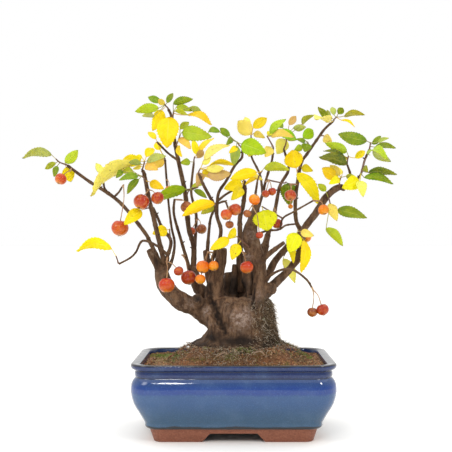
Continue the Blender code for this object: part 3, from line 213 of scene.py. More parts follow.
# Shoots and twigs, in the same form
SHOOTS = {
    "old_shoot": ((164.5, 264, -8, 3.6), (157.4, 234, -10, 3.3), (153, 215, -12, 3.1), (149, 199, -15, 3),
        (144.7, 176, -20, 2.6), (142.6, 170.6, -22, 2.2)),
    "long_shoot": ((162, 266, -2, 3.2), (150.4, 243, 8, 2.8), (144.7, 232.5, 12, 2.7),
        (125, 207.7, 18, 2.6), (110, 194.5, 20, 2.5), (90, 182, 14, 2.3), (67.4, 165.5, 8, 2)),
    "long_shoot_fork": ((108, 193, 20, 1.7), (104.5, 188, 18, 1.5), (103.5, 182, 16, 1.4)),
    "long_shoot_twig": ((114, 197, 20, 1.6), (119, 192, 12, 1.4), (122, 187, 4, 1.3)),
    "trailing_twig": ((164, 266, -6, 3), (168, 257, -12, 2), (158, 246.5, -18, 1.7),
        (142.8, 240.8, -24, 1.6), (136, 252, -29, 1.5), (130, 258, -33, 1.4), (118.8, 264, -38, 1.3)),
    "back_shoot": ((164, 265, -2, 3), (171, 242, 22, 2.5), (162.5, 228.7, 24, 2.3), (158, 218.5, 26, 2.1),
        (153, 207.6, 28, 1.9)),
    "thin_shoot": ((166, 270, -2, 4), (172, 260, 12, 2.4), (174.6, 243, 30, 1.8), (171.5, 227, 30, 1.7),
        (168.3, 200.6, 27, 1.6), (165.1, 160, 24, 1.5)),
    "slim_shoot": ((190, 270, 18, 2.8), (181, 240, 20, 2.2), (174, 214.6, 10, 1.9), (174.6, 199, 6, 1.6)),
    "tall_shoot": ((193, 272, 20, 4.2), (193.8, 246.5, 18, 3.8), (188.7, 228, 17, 3.6),
        (185.5, 195.5, 14, 3.3), (178.5, 161.5, 10, 2.9), (175.3, 145.6, 8, 2.6), (172, 118.8, 5, 2.1),
        (168.3, 109.2, 2, 1.8)),
    "tall_shoot_fork": ((177.5, 160, 10, 1.8), (168, 153, 14, 1.5), (157, 142, 18, 1.3)),
    "straight_shoot": ((193, 268, 24, 3), (196, 227, 36, 2.3), (195.7, 211, 36, 2.1), (191.2, 192, 35, 1.9),
        (193.8, 163, 33, 1.6)),
    "left_centre_shoot": ((207, 256, 6, 3), (209, 230.6, 0, 2), (211, 217, -6, 1.8), (216, 206, -14, 1.6)),
    "bent_shoot": ((209, 268, 4, 3), (220.6, 235, -8, 2.7), (217.4, 218, -14, 2.5), (214, 205, -20, 2.3),
        (203.8, 185.6, -32, 2), (198.9, 174, -38, 1.7)),
    "zigzag_shoot": ((217, 214, -14, 2.2), (218.3, 194, -16, 2.1), (226.4, 180.6, -18, 2),
        (235.2, 165, -22, 1.9), (241.7, 158, -24, 1.7), (242.4, 150, -26, 1.5)),
    "cross_twig": ((217.8, 201, -16, 1.8), (225, 195, -6, 1.6), (234, 190, 2, 1.5), (244.5, 187, 9, 1.5)),
    "hanging_twig": ((219, 203, -16, 1.5), (225, 201.5, -20, 1.4), (227.5, 206.6, -22, 1.3),
        (230.5, 215, -24, 1.2)),
    "cut_shoot": ((240, 292, 8, 6), (240, 235, 12, 3.6), (240, 218, 12, 3.4), (243.3, 204, 11, 3.2),
        (244.7, 190, 10, 3), (244, 180.8, 10, 2.8)),
    "front_stem": ((255, 219, -14, 2.2), (254.6, 202, -16, 1.7), (257.3, 182, -17, 1.5)),
    "summit_stem": ((256, 214, -12, 2.6), (262, 196, -4, 2.1), (266, 180, 0, 1.8), (272, 160, 4, 1.6),
        (273, 148, 6, 1.5)),
    "summit_twig": ((262.5, 194, -3, 1.8), (260, 175, 12, 1.6), (252, 158, 20, 1.5), (250, 147.5, 22, 1.3)),
    "inner_shoot": ((258, 279, -10, 6), (261, 263, 4, 7), (264, 250, 12, 6.2), (267, 238, 18, 4.2),
        (270, 227, 24, 3), (275, 210, 26, 2.7), (280, 186, 30, 2.4), (288.6, 169, 38, 2),
        (284, 150, 44, 1.6)),
    "outer_shoot": ((303, 232, 24, 3.2), (296.5, 222, 28, 3), (295.3, 202, 30, 2.8), (297.7, 182, 28, 2.6),
        (301.2, 163, 26, 2.4), (307, 154, 24, 2.2), (317.4, 139, 16, 2), (324.7, 129, 12, 1.8),
        (332.8, 121.6, 10, 1.6)),
    "lit_twig": ((256, 268, -8, 4.6), (263, 259.4, -16, 3.9), (270.8, 252.4, -18, 3.5),
        (284.2, 242.5, -22, 2.4)),
    "cross_stem": ((251, 237, -12, 2), (266, 231, -16, 1.5), (278.5, 229.7, -18, 1.4),
        (286, 225.3, -18, 1.3), (296, 224, -16, 1.2)),
    "twin_stem": ((280, 229.5, -18, 1.4), (283, 218.3, -10, 1.3), (293.2, 212, -6, 1.3),
        (313.6, 200.4, -4, 1.2)),
    "arching_twig": ((258, 290, -8, 3), (266, 279, -22, 2), (280, 270.3, -28, 1.7), (293, 270, -30, 1.6),
        (306, 279, -32, 1.5), (311.5, 287, -33, 1.4)),
    "upper_right_twig": ((343, 188, -4, 2.6), (350.6, 178.4, -10, 1.8), (347.4, 165, -12, 1.4)),
    "right_twig": ((348, 182, -7, 1.8), (359.5, 176.5, -16, 1.6), (364.6, 160.6, -24, 1.5),
        (369.1, 149.7, -30, 1.4)),
    "left_spur": ((184.5, 190, 14, 1.8), (190, 189.5, 18, 1.4), (198, 187, 22, 1.2)),
}
# Fruit bunches: where the spur ends, then each fruit's pixel, width seen in pixels, depth in mm and colour
BUNCHES = {
    "fruit_far_left": ((70, 171, 2), ((60.8, 178.9, 12, -4, "scarlet"),)),
    "fruit_long_stalk": ((123.5, 185, -6), ((119.9, 227.9, 17.4, -8, "scarlet"),)),
    "fruit_old_shoot": ((149.5, 190, -22), ((141.5, 201.5, 16, -28, "red"), (157.5, 198, 13, -26, "red"))),
    "fruit_thin_shoot": ((167.5, 180, 20), ((169.5, 191, 11, 14, "amber"),)),
    "fruit_tall_shoot": ((182.5, 200, 6), ((186.5, 207, 12, 2, "russet"),)),
    "fruit_straight_shoot": ((198, 219, 30), ((201.5, 229, 10.5, 24, "russet"),
        (191.5, 231, 8.5, 28, "red"))),
    "fruit_left_knot": ((166.5, 262, -22), ((166.6, 285.1, 16.3, -34, "scarlet"),
        (178.5, 271, 10, -26, "red"))),
    "fruit_back_limb": ((182, 255, 6), ((188.6, 277.4, 15.6, -2, "red"),)),
    "fruit_centre_stub": ((207.4, 252, -8), ((202.8, 266.8, 13.6, -24, "amber"),
        (213.6, 265.8, 10.5, -26, "amber"), (200.4, 279.2, 10.5, -30, "amber"))),
    "fruit_low_centre": ((241, 251, -20), ((246.8, 267.2, 13.4, -31, "scarlet"),)),
    "fruit_hanging_twig": ((231, 206, -26), ((226.3, 214.6, 11.5, -36, "scarlet"),
        (235.2, 209.6, 12.5, -30, "red"), (229.5, 224.5, 8.5, -28, "russet"))),
    "fruit_front_stem": ((252, 206, -30), ((254.5, 199.5, 11.5, -32, "amber"),
        (247.4, 213.5, 8.5, -30, "russet"), (259.5, 235, 7.5, -26, "red"))),
    "fruit_summit_stem": ((268.5, 180, -8), ((265.7, 193.8, 8, -14, "red"), (272, 191.5, 8.5, -10, "red"))),
    "fruit_inner_shoot": ((274.5, 208, 14), ((277.4, 223.7, 10.5, 6, "red"),)),
    "fruit_outer_shoot": ((289.5, 184, 18), ((290.4, 195.4, 12, -6, "red"), (290.5, 206.5, 5, 4, "amber"))),
    "fruit_right_limb": ((320, 201, -12), ((323.5, 209.7, 11, -20, "amber"),)),
    "fruit_elbow": ((306, 228, 14), ((306.5, 237.5, 10, 14, "amber"),)),
    "fruit_arching_twig": ((313, 290, -34), ((312.3, 312.1, 10.4, -34, "russet"),
        (322.6, 309.6, 12.6, -36, "red"))),
}
# Trunk: the pixel row, its left and right edge there, and its depth from front to back in mm
TRUNK = ((343.5, 191.5, 285.5, 94), (338, 202, 279.5, 84), (330, 207.5, 276.5, 76), (320, 208.5, 275.5, 72),
    (310, 205, 273.5, 66), (304, 203.5, 272, 62), (299, 206, 270.5, 54), (296, 212, 266, 44))
# Leafy sprays: the shoot that carries each, as pixels with a depth in mm from the pot's middle (minus is
# nearer the eye), then its leaves. A leaf is the pixel where its blade starts, its tip's pixel, the width
# seen in pixels, how far its tip leans away from the eye in mm, its upward arch and its colour.
SPRAYS = {
    "spray_far_left_tip": (((67.4, 165.5, 8), (59.7, 162.3, 5), (56, 159, 2)), (
        (52, 155, 22, 158, 9, -14, 0.22, "grey"), (56, 163, 45, 169, 6, 10, 0.05, "olive"),
        (57, 166, 54, 177, 6, -8, 0.05, "green"), (65, 163, 78, 150, 10.5, -6, 0.08, "light"),
        (66, 167, 71, 182, 12.5, -10, 0.08, "yellow"))),
    "spray_old_shoot_tip": (((142.6, 170.6, -22), (143.5, 166, -24), (144.5, 161, -26)), (
        (134, 163, 90.5, 196, 11.5, -24, 0.14, "pale"), (145, 149, 122, 161, 12.5, 14, 0.1, "yellow"),
        (142, 157, 133, 158, 6, 12, 0.05, "yellow"), (146, 157, 153, 148, 9, 20, 0.1, "yellow"),
        (147, 161, 166, 156, 8, -16, 0.08, "grey"), (146, 164, 158, 170, 10.5, -14, 0.12, "orange"),
        (141, 164, 129, 162, 6, -18, 0.1, "grey"), (141, 166, 133, 169, 4.5, 6, 0.08, "pale"))),
    "spray_old_shoot_side": (((146.5, 181, -23), (144, 178, -29), (141.5, 176, -33)), (
        (133, 171, 121, 173, 6, 16, 0.1, "light"), (138, 176, 119, 180, 8, -14, 0.14, "green"),
        (139, 179, 127, 194, 6, -8, 0.1, "green"), (122, 170, 116, 178, 6, 8, 0.08, "green"),
        (150, 182, 164, 189, 9, -10, 0.1, "gold"))),
    "spray_thin_shoot_tip": (((165.1, 160, 24), (164, 157, 25), (162.5, 154, 26)), (
        (163, 159, 151, 168, 11.5, -8, 0.1, "ochre"), (164, 163, 153, 169, 7, 14, 0.08, "green"),
        (160, 150, 156, 142, 8, 10, 0.08, "yellow"), (156, 139, 148, 132, 6, 14, 0.08, "yellow"))),
    "spray_old_shoot_low": (((150.5, 207, -11), (148, 208, -17), (144, 209, -21)), (
        (141, 210, 124, 225, 12.5, -16, 0.12, "yellow"),)),
    "spray_long_shoot_mid": (((103.5, 182, 16), (103.2, 179, 15), (103, 176, 14)), (
        (103, 174, 96, 163, 7, 8, 0.1, "pale"), (104, 177, 110, 168, 4.5, 10, 0.1, "light"))),
    "spray_trailing_twig": (((118.8, 264, -38), (117.6, 260.5, -40), (116, 256, -42)), (
        (112, 249, 76, 251, 10.5, -18, 0.24, "yellow"),)),
    "spray_back_left": (((170.5, 240, 21), (170, 235, 16), (169.5, 229, 12)), (
        (168, 223, 152.5, 234, 11.5, -14, 0.12, "yellow"),)),
    "spray_tall_low": (((185.5, 195.5, 14), (188, 192, 8), (190, 189.5, 3)), (
        (186, 189, 152.5, 202, 11.5, -14, 0.08, "bright"), (194, 190, 207, 198, 6, -8, 0.1, "green"),
        (192, 187, 205, 185, 4.5, 12, 0.1, "light"))),
    "spray_crown_left": (((168.3, 109.2, 2), (166.5, 106.5, 0), (164.5, 104.5, -2)), (
        (161, 102, 148, 97, 7, 12, 0.1, "green"), (165, 104, 158, 100, 6, -10, 0.08, "ochre"),
        (159, 108, 135, 111.5, 9, -14, 0.14, "light"), (162, 110, 152.5, 131, 12.5, 16, 0.1, "yellow"),
        (154, 116, 142, 116, 4.5, 14, 0.08, "grey"), (167, 103, 173, 93, 6, 10, 0.08, "green"))),
    "spray_crown_middle": (((172.5, 121, 1), (173, 116, -7), (173.5, 111.5, -12)), (
        (169, 117, 167, 148, 22, -10, 0.1, "yellow"), (173, 104, 193, 99, 7, -6, 0.12, "green"),
        (176, 107, 192, 111, 7, 12, 0.1, "light"), (190, 107, 203, 118, 7, 20, 0.1, "grey"),
        (187, 115, 212, 125, 7, -12, 0.16, "gold"), (175, 111, 188, 115, 4.5, -14, 0.08, "light"))),
    "spray_crown_right": (((176, 145, 4), (178.5, 140, -3), (180, 135, -7)), (
        (182, 132, 212, 137, 15, -14, 0.12, "light"), (180, 129, 189, 122, 7, 10, 0.08, "light"),
        (179, 138, 191, 149, 8, -18, 0.1, "orange"), (178, 146, 182, 157, 6, -16, 0.08, "yellow"))),
    "spray_slim_tip": (((193.8, 163, 33), (194, 159.5, 33), (194.8, 156.5, 32)), (
        (190, 163, 180, 168, 7, -8, 0.08, "light"), (197, 155, 193, 139, 7, 6, 0.08, "yellow"),
        (197, 158, 203, 150, 7, -12, 0.12, "brown"), (196, 168, 178, 180, 6, 10, 0.14, "ochre"),
        (199, 153, 214, 138, 6, 16, 0.1, "yellow"))),
    "spray_front_tip": (((198.9, 174, -38), (199, 171, -40), (200.5, 168.5, -42)), (
        (204, 160, 230, 145, 9, 10, 0.14, "pale"), (202, 164, 211, 158, 6, -6, 0.08, "pale"),
        (206, 169, 224, 168, 8, -10, 0.12, "pale"), (207, 177, 231, 179, 12, 4, 0.1, "brown"),
        (203, 170, 211, 178, 7, 8, 0.1, "gold"), (209, 166, 234, 165, 4.5, 18, 0.1, "gold"),
        (201, 173, 197, 187, 9, 12, 0.2, "brown"))),
    "spray_wet_top": (((242.4, 150, -26), (240, 146, -30), (237, 142, -33)), (
        (231, 134, 266, 153, 17, -16, 0.1, "bright"), (219, 150, 233, 166, 10.5, 8, 0.1, "grey"),
        (237, 147, 229, 153, 6, -10, 0.08, "yellow"), (220, 132, 208, 132, 6, 14, 0.24, "green"),
        (230, 136, 220, 128, 7, -12, 0.12, "green"), (232, 138, 226, 145, 6, 14, 0.08, "green"))),
    "spray_cut_stub": (((244, 180.8, 10), (243.5, 177.5, 2), (242.5, 175.5, -6)), (
        (242, 184, 224, 189, 13, -8, 0.12, "yellow"), (242, 188, 231, 200, 11, -18, 0.08, "yellow"),
        (244, 181, 234, 180, 4.5, 14, 0.08, "pale"), (250, 174, 263, 180, 6, 12, 0.1, "pale"),
        (246, 170, 236, 178, 4.5, -16, 0.12, "pale"))),
    "spray_woody_limb": (((257.3, 182, -17), (259, 176, -21), (262, 171, -25)), (
        (263, 164, 230, 179, 10.5, -10, 0.1, "yellow"), (264, 168, 290, 170, 9, 8, 0.12, "light"),
        (256, 178, 245, 185, 4.5, 6, 0.1, "gold"))),
    "spray_summit_left": (((250, 147.5, 22), (251, 141, 20), (251, 135, 18)), (
        (249, 127, 245, 117, 7, 12, 0.08, "pale"), (252, 134, 238, 121, 15, -12, 0.1, "pale"),
        (253, 128, 267, 118, 10, 10, 0.1, "gold"), (254, 133, 265, 138, 7, -16, 0.12, "ochre"),
        (262, 151, 249, 162, 9.5, -8, 0.08, "gold"))),
    "spray_summit_right": (((273, 148, 6), (270.5, 142, 3), (267, 136, 0)), (
        (256, 130, 286, 119, 8, -8, 0.2, "light"), (258, 129, 271, 132, 6, 12, 0.08, "yellow"),
        (262, 137, 294, 137, 9, -18, 0.24, "ochre"), (277, 143, 265, 157, 10, -10, 0.12, "pale"),
        (276, 132, 297, 140, 10, 18, 0.14, "bright"))),
    "spray_behind_summit": (((284, 150, 44), (286, 143, 43), (287, 135, 41)), (
        (289, 125, 296, 116, 7, 12, 0.08, "brown"), (283, 128, 277, 122, 6, 14, 0.08, "green"),
        (289, 128, 296, 140, 9, -14, 0.1, "olive"), (285, 139, 277, 154, 14, 12, 0.1, "pale"),
        (293, 128, 306, 127, 7, -8, 0.12, "grey"), (302, 124, 314, 115, 6, 10, 0.2, "olive"))),
    "spray_spade_leaf": (((300.5, 166, 27), (298.5, 169, 21), (297, 171.5, 16)), (
        (296.5, 173, 292, 150, 19, -12, 0.08, "yellow"), (302, 167, 313, 171, 8, -14, 0.1, "gold"),
        (297, 173, 319, 205, 14, -8, 0.12, "yellow"))),
    "spray_high_right": (((310, 151, 21), (309, 146, 17), (307.5, 142, 13)), (
        (303, 138, 313, 130, 11, -12, 0.2, "bright"), (307, 140, 305, 152, 10, -8, 0.1, "green"),
        (305, 142, 296, 139, 4.5, 12, 0.1, "green"), (302, 146, 294, 151, 7, 8, 0.08, "light"))),
    "spray_outer_tip": (((332.8, 121.6, 10), (334.5, 119, 8), (336.5, 117, 7)), (
        (327, 121, 318, 112, 6, 12, 0.08, "green"), (327, 124, 316, 125, 4.5, -14, 0.1, "pale"),
        (330, 117, 327, 110, 4.5, -8, 0.08, "grey"), (334, 115, 332, 107, 6, 10, 0.08, "grey"),
        (338, 114, 343, 108, 7, -10, 0.1, "green"), (344, 116, 365, 115, 6, 12, 0.1, "olive"),
        (341, 120, 355, 127, 4.5, -8, 0.14, "yellow"))),
    "spray_outer_low": (((320, 135.5, 16), (322.5, 135.5, 21), (324, 136, 25)), (
        (323, 133, 332, 142, 9, 10, 0.12, "pale"),)),
    "spray_right_far": (((369.1, 149.7, -30), (370, 146, -31), (370.5, 142.5, -32)), (
        (367, 141, 338, 134, 13, -8, 0.12, "green"), (372, 144, 381, 136, 6, 10, 0.08, "green"),
        (378, 142, 389, 138, 4.5, -10, 0.08, "grey"), (375, 147, 396, 148, 6, 8, 0.1, "green"),
        (368, 156, 388, 165, 9, -10, 0.26, "light"), (366, 163, 391, 167, 9, 12, 0.1, "grey"))),
    "spray_right_upper": (((347.4, 165, -12), (347.5, 160.5, -13), (348.5, 156, -13)), (
        (347, 152, 325, 143, 9, 10, 0.1, "light"), (342, 156, 323, 151, 6, 16, 0.12, "dark"),
        (347, 165, 319, 157, 9, -14, 0.12, "dark"), (358, 162, 336, 151, 7, -8, 0.24, "dark"),
        (347, 158, 339, 160, 4.5, 14, 0.08, "yellow"), (355, 158, 365, 151, 7, 10, 0.1, "yellow"))),
    "spray_right_lower": (((364, 163, -33), (362.5, 168, -37), (361, 173, -40)), (
        (363, 165, 368, 172, 6, 10, 0.1, "olive"), (368, 172.5, 397, 174.5, 7, -12, 0.08, "dark"),
        (364, 177.5, 393.5, 184, 8, 8, 0.1, "green"), (359, 180, 342, 188, 14, -12, 0.1, "yellow"),
        (360, 181, 363, 197, 10.5, -16, 0.1, "pale"))),
    "spray_right_inner": (((338, 186, -9), (339.5, 182, -14), (341, 177, -17)), (
        (348, 171, 330, 165, 8, 12, 0.1, "ochre"), (338, 178, 322, 168, 12, -12, 0.1, "gold"),
        (343, 172, 332, 172, 9, 18, 0.14, "pale"), (343, 175, 329, 184, 8, -18, 0.1, "yellow"),
        (346, 176, 357, 178, 6, 8, 0.1, "olive"))),
    "spray_right_hanging": (((327.5, 195.5, 0), (329, 199, -6), (330, 203, -9)), (
        (337, 210, 367, 218, 12, -8, 0.08, "green"), (326, 228, 343, 246, 8, 8, 0.1, "light"),
        (329, 204, 337, 221, 10.5, -14, 0.1, "pale"), (326, 191, 318, 184, 7, 10, 0.1, "light"))),
    "spray_elbow": (((301.5, 238, -4), (300, 233, -9), (298, 229.5, -13)), (
        (297, 227, 289, 253, 16, -12, 0.1, "spotted"), (300, 236, 293, 263, 8, -20, 0.12, "yellow"),
        (304, 240, 301, 273, 10.5, -10, 0.1, "yellow"), (311, 224, 314, 236, 8, -12, 0.1, "pale"))),
    "spray_heart_leaf": (((274, 215, -4), (268, 210, -12), (262, 206.5, -18)), (
        (261, 200, 267.5, 231, 24, -8, 0.06, "spotted"),)),
    "spray_behind_fruit": (((280, 186, 8), (283, 183, 12), (286, 182, 16)), (
        (288, 183, 290, 206, 16, 8, 0.08, "green"),)),
    "spray_centre_gold": (((214.5, 208, -25), (215, 205, -30), (215.5, 203, -34)), (
        (215, 203.5, 182, 216, 10.5, -8, 0.1, "yellow"), (213, 205, 201, 214, 9, 14, 0.1, "olive"))),
    "spray_low_centre": (((247, 246, -14), (241, 240, -29), (237, 236.5, -33)), (
        (244, 227.5, 229.5, 232, 12.5, -8, 0.1, "yellow"),
        (229, 238.5, 210, 250, 10.5, -10, 0.12, "yellow"),
        (238, 244, 232, 260, 11.5, -10, 0.08, "yellow"))),
    "spray_under_limb": (((287.4, 248.5, 20), (286, 252, 24), (284, 256, 27)), (
        (283, 258.5, 295, 283, 10.5, 8, 0.1, "pale"),)),
}


def clamp(value):
    return min(1.0, max(0.0, value))


def at(x_px, y_px, depth):
    """The place, in mm round the pot's middle, that shows at a pixel of the reference view at a depth."""
    scale = (EYE_DISTANCE + depth) / FOCAL_PX
    return Vector(((x_px - EYE_X_PX) * scale, depth, EYE_HEIGHT - (y_px - EYE_Y_PX) * scale))


def on_plant(x_px, y_px, depth):
    """The same, with depths that spread towards the crown."""
    height_share = clamp((CROWN_SPREAD_FROM - y_px) / CROWN_SPREAD_OVER)
    return at(x_px, y_px, depth * (1.0 + CROWN_SPREAD * height_share))


def placed(route):
    """The places along a route of the wood, each with its radius."""
    return [(on_plant(x, y, depth), radius) for x, y, depth, radius in route]


def px_to_mm(size_px, depth):
    return size_px * (EYE_DISTANCE + depth) / FOCAL_PX


def in_frame(place):
    """A place round the pot's middle, in mm, as a place in the frame, in metres."""
    return Vector(((place.x + POT_MIDDLE.x) * MM, (place.y + POT_MIDDLE.y) * MM, place.z * MM))


def round_pot(place):
    """A place in the frame, in metres, as a place round the pot's middle, in mm."""
    return Vector((place.x / MM - POT_MIDDLE.x, place.y / MM - POT_MIDDLE.y, place.z / MM))


def add_object(name, data):
    thing = bpy.data.objects.new(name, data)
    bpy.context.scene.collection.objects.link(thing)
    return thing


def add_modifier(thing, name, kind, **settings):
    made = thing.modifiers.new(name, kind)
    for key, value in settings.items():
        setattr(made, key, value)


def apply_modifiers(thing):
    evaluated = thing.evaluated_get(bpy.context.evaluated_depsgraph_get())
    mesh = bpy.data.meshes.new_from_object(evaluated)
    thing.modifiers.clear()
    thing.data = mesh


def face_outward(mesh):
    made = bmesh.new()
    made.from_mesh(mesh)
    bmesh.ops.recalc_face_normals(made, faces=made.faces)
    made.to_mesh(mesh)
    made.free()


def store_points(mesh, marks, shades):
    """Keep three marks and a colour with alpha for each point of a mesh, for its material to read."""
    for name, kind, field, numbers in (("shade", "FLOAT_COLOR", "color", shades),
                                       ("marks", "FLOAT_VECTOR", "vector", marks)):
        if name in mesh.attributes:
            mesh.attributes.remove(mesh.attributes[name])
        mesh.attributes.new(name, kind, "POINT").data.foreach_set(field, numbers)


class Piece:
    """Gathers the points, faces, marks and shades of one mesh."""

    def __init__(self):
        self.points = []
        self.faces = []
        self.marks = []
        self.shades = []

    def add(self, rows, marks=NO_MARKS, shade=NO_SHADE, closed=True, caps=(True, True)):
        """Join rows of points in mm into a skin; marks and shade are one value, or a list for each row."""
        first = len(self.points)
        count = len(rows[0])
        for r, row in enumerate(rows):
            self.points.extend(in_frame(point) for point in row)
            row_marks = marks[r] if isinstance(marks, list) else [marks] * count
            row_shades = shade[r] if isinstance(shade, list) else [shade] * count
            self.marks.extend(part for mark in row_marks for part in mark)
            self.shades.extend(part for tone in row_shades for part in (*tone, 1.0))
        for r in range(len(rows) - 1):
            for c in range(count if closed else count - 1):
                a = first + r * count + c
                b = first + r * count + (c + 1) % count
                self.faces.append((a, b, b + count, a + count))
        last = first + (len(rows) - 1) * count
        if caps[0]:
            self.faces.append(tuple(reversed(range(first, first + count))))
        if caps[1]:
            self.faces.append(tuple(range(last, last + count)))

    def build(self, name, look=None):
        mesh = bpy.data.meshes.new(name)
        mesh.from_pydata([tuple(point) for point in self.points], [], self.faces)
        store_points(mesh, self.marks, self.shades)
        if look:
            mesh.materials.append(look)
        mesh.shade_smooth()
        return add_object(name, mesh)


def finish_piece(thing, slot, *nodes):
    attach(thing, "root")
    if nodes:
        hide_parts(*nodes)
    return thing


class Graph:
    """Short names for the shader nodes that the materials are wired from."""

    def __init__(self, tree):
        self.tree = tree

    def node(self, kind, inputs=None, **settings):
        made = self.tree.nodes.new(kind)
        for key, value in settings.items():
            setattr(made, key, value)
        self.fill(made, inputs or {})
        return made

    def fill(self, node, inputs):
        """Wire the inputs of a node, or set them where they are uniform."""
        for key, value in inputs.items():
            socket = node.inputs[key]
            if isinstance(value, bpy.types.NodeSocket):
                self.tree.links.new(value, socket)
            elif socket.type == "RGBA":
                socket.default_value = (*value, 1.0)
            else:
                socket.default_value = value

    def place(self):
        return self.node("ShaderNodeTexCoord").outputs["Object"]

    def shade(self, output="Color"):
        return self.node("ShaderNodeAttribute", attribute_name="shade").outputs[output]

    def marks(self):
        return self.split(self.node("ShaderNodeAttribute", attribute_name="marks").outputs["Vector"])

    def split(self, vector):
        return self.node("ShaderNodeSeparateXYZ", {"Vector": vector}).outputs

    def noise(self, scale, detail=4.0, rough=0.55, stretch=None):
        place = self.place()
        if stretch:
            place = self.node("ShaderNodeMapping", {"Vector": place, "Scale": stretch}).outputs["Vector"]
        inputs = {"Vector": place, "Scale": scale, "Detail": detail, "Roughness": rough}
        return self.node("ShaderNodeTexNoise", inputs).outputs["Fac"]

    def cells(self, scale):
        inputs = {"Vector": self.place(), "Scale": scale}
        return self.node("ShaderNodeTexVoronoi", inputs).outputs["Distance"]

    def math(self, operation, one, two=0.0):
        return self.node("ShaderNodeMath", {0: one, 1: two}, operation=operation).outputs[0]

    def plus(self, one, two):
        return self.math("ADD", one, two)

    def minus(self, one, two):
        return self.math("SUBTRACT", one, two)

    def times(self, one, two):
        return self.math("MULTIPLY", one, two)

    def ramp(self, value, low, high):
        """A smooth step from 0 where the value is low to 1 where it is high."""
        inputs = {"Value": value, "From Min": low, "From Max": high}
        return self.node("ShaderNodeMapRange", inputs, interpolation_type="SMOOTHSTEP").outputs["Result"]

    def band(self, value, centre, half):
        away = self.math("ABSOLUTE", self.minus(value, centre))
        return self.ramp(away, half, half * 0.3)

    def mix(self, share, one, two):
        inputs = {"Factor": share, "A": one, "B": two}
        return self.node("ShaderNodeMix", inputs, data_type="RGBA").outputs["Result"]

    def between(self, value, low, high, one, two):
        """From one colour to the other as a value goes from low to high."""
        return self.mix(self.ramp(value, low, high), one, two)

    def tints(self, colour, *layers):
        """Lay tones over a colour: each with its greatest share and the value, or ramp, that it follows."""
        for tone, greatest, value, *limits in layers:
            share = self.ramp(value, *limits) if limits else value
            colour = self.mix(self.times(share, greatest), colour, tone)
        return colour

    def bump(self, height, strength, distance):
        inputs = {"Height": height, "Strength": strength, "Distance": distance}
        return self.node("ShaderNodeBump", inputs).outputs["Normal"]


def new_material(name):
    """A new material, the graph of its nodes and its surface shader."""
    made = bpy.data.materials.new(name)
    made.use_nodes = True
    return made, Graph(made.node_tree), made.node_tree.nodes["Principled BSDF"]


def glaze_material():
    """Grey-blue below, cobalt bands above, grooves dark with painted shade, near-black edges with painted
    shade under the bottom roll, and bare clay on the feet.
    """
    made, g, shader = new_material("blue_glaze")
    height = g.split(g.place())["Z"]
    level = g.plus(height, g.times(g.minus(g.noise(38.0, 3.0), 0.5), 0.005))
    speckle = g.noise(900.0, 3.0, 0.7)
    cloud = g.noise(22.0, 4.0, 0.6)
    # Painted shade in the two grooves round the rim band
    groove = g.math("MAXIMUM", g.band(height, 0.0842, 0.0012), g.band(height, 0.0930, 0.0010))
    # Near black along the rim's top edge, and painted shade under the bottom roll
    edge = g.math("MAXIMUM", g.ramp(level, 0.0990, 0.1008), g.ramp(level, 0.0222, 0.0204))
    body = g.tints(g.between(level, 0.026, 0.058, (0.020, 0.068, 0.130), (0.022, 0.072, 0.190)),
                   ((0.006, 0.036, 0.20), 1.0, level, 0.0615, 0.0665),
                   ((0.008, 0.038, 0.15), 1.0, level, 0.0715, 0.079),
                   ((0.003, 0.013, 0.085), 1.0, height, 0.0840, 0.0846),
                   ((0.08, 0.17, 0.36), 0.40, speckle, 0.50, 0.72),
                   ((0.012, 0.05, 0.14), 0.45, speckle, 0.46, 0.30),
                   ((0.10, 0.18, 0.30), 0.20, cloud, 0.45, 0.75),
                   # painted shade in the grooves
                   ((0.006, 0.010, 0.026), 0.80, groove),
                   # near-black edges: painted shade under the bottom roll
                   ((0.010, 0.008, 0.008), 0.92, edge))
    clay = g.between(g.noise(420.0, 4.0, 0.7), 0.35, 0.7, (0.20, 0.062, 0.031), (0.31, 0.110, 0.058))
    is_clay = g.ramp(g.plus(height, g.times(g.minus(cloud, 0.5), 0.0012)), 0.0180, 0.0174)
    relief = g.plus(g.times(g.noise(45.0, 2.0), 0.8), g.times(speckle, 0.06))
    g.fill(shader, {
        "Base Color": g.mix(is_clay, body, clay),
        "Roughness": g.plus(g.plus(g.times(is_clay, 0.68), 0.06), g.times(speckle, 0.08)),
        "Coat Weight": 0.2,
        "Coat Roughness": 0.05,
        "Normal": g.bump(relief, 0.35, 0.0016),
    })
    return made


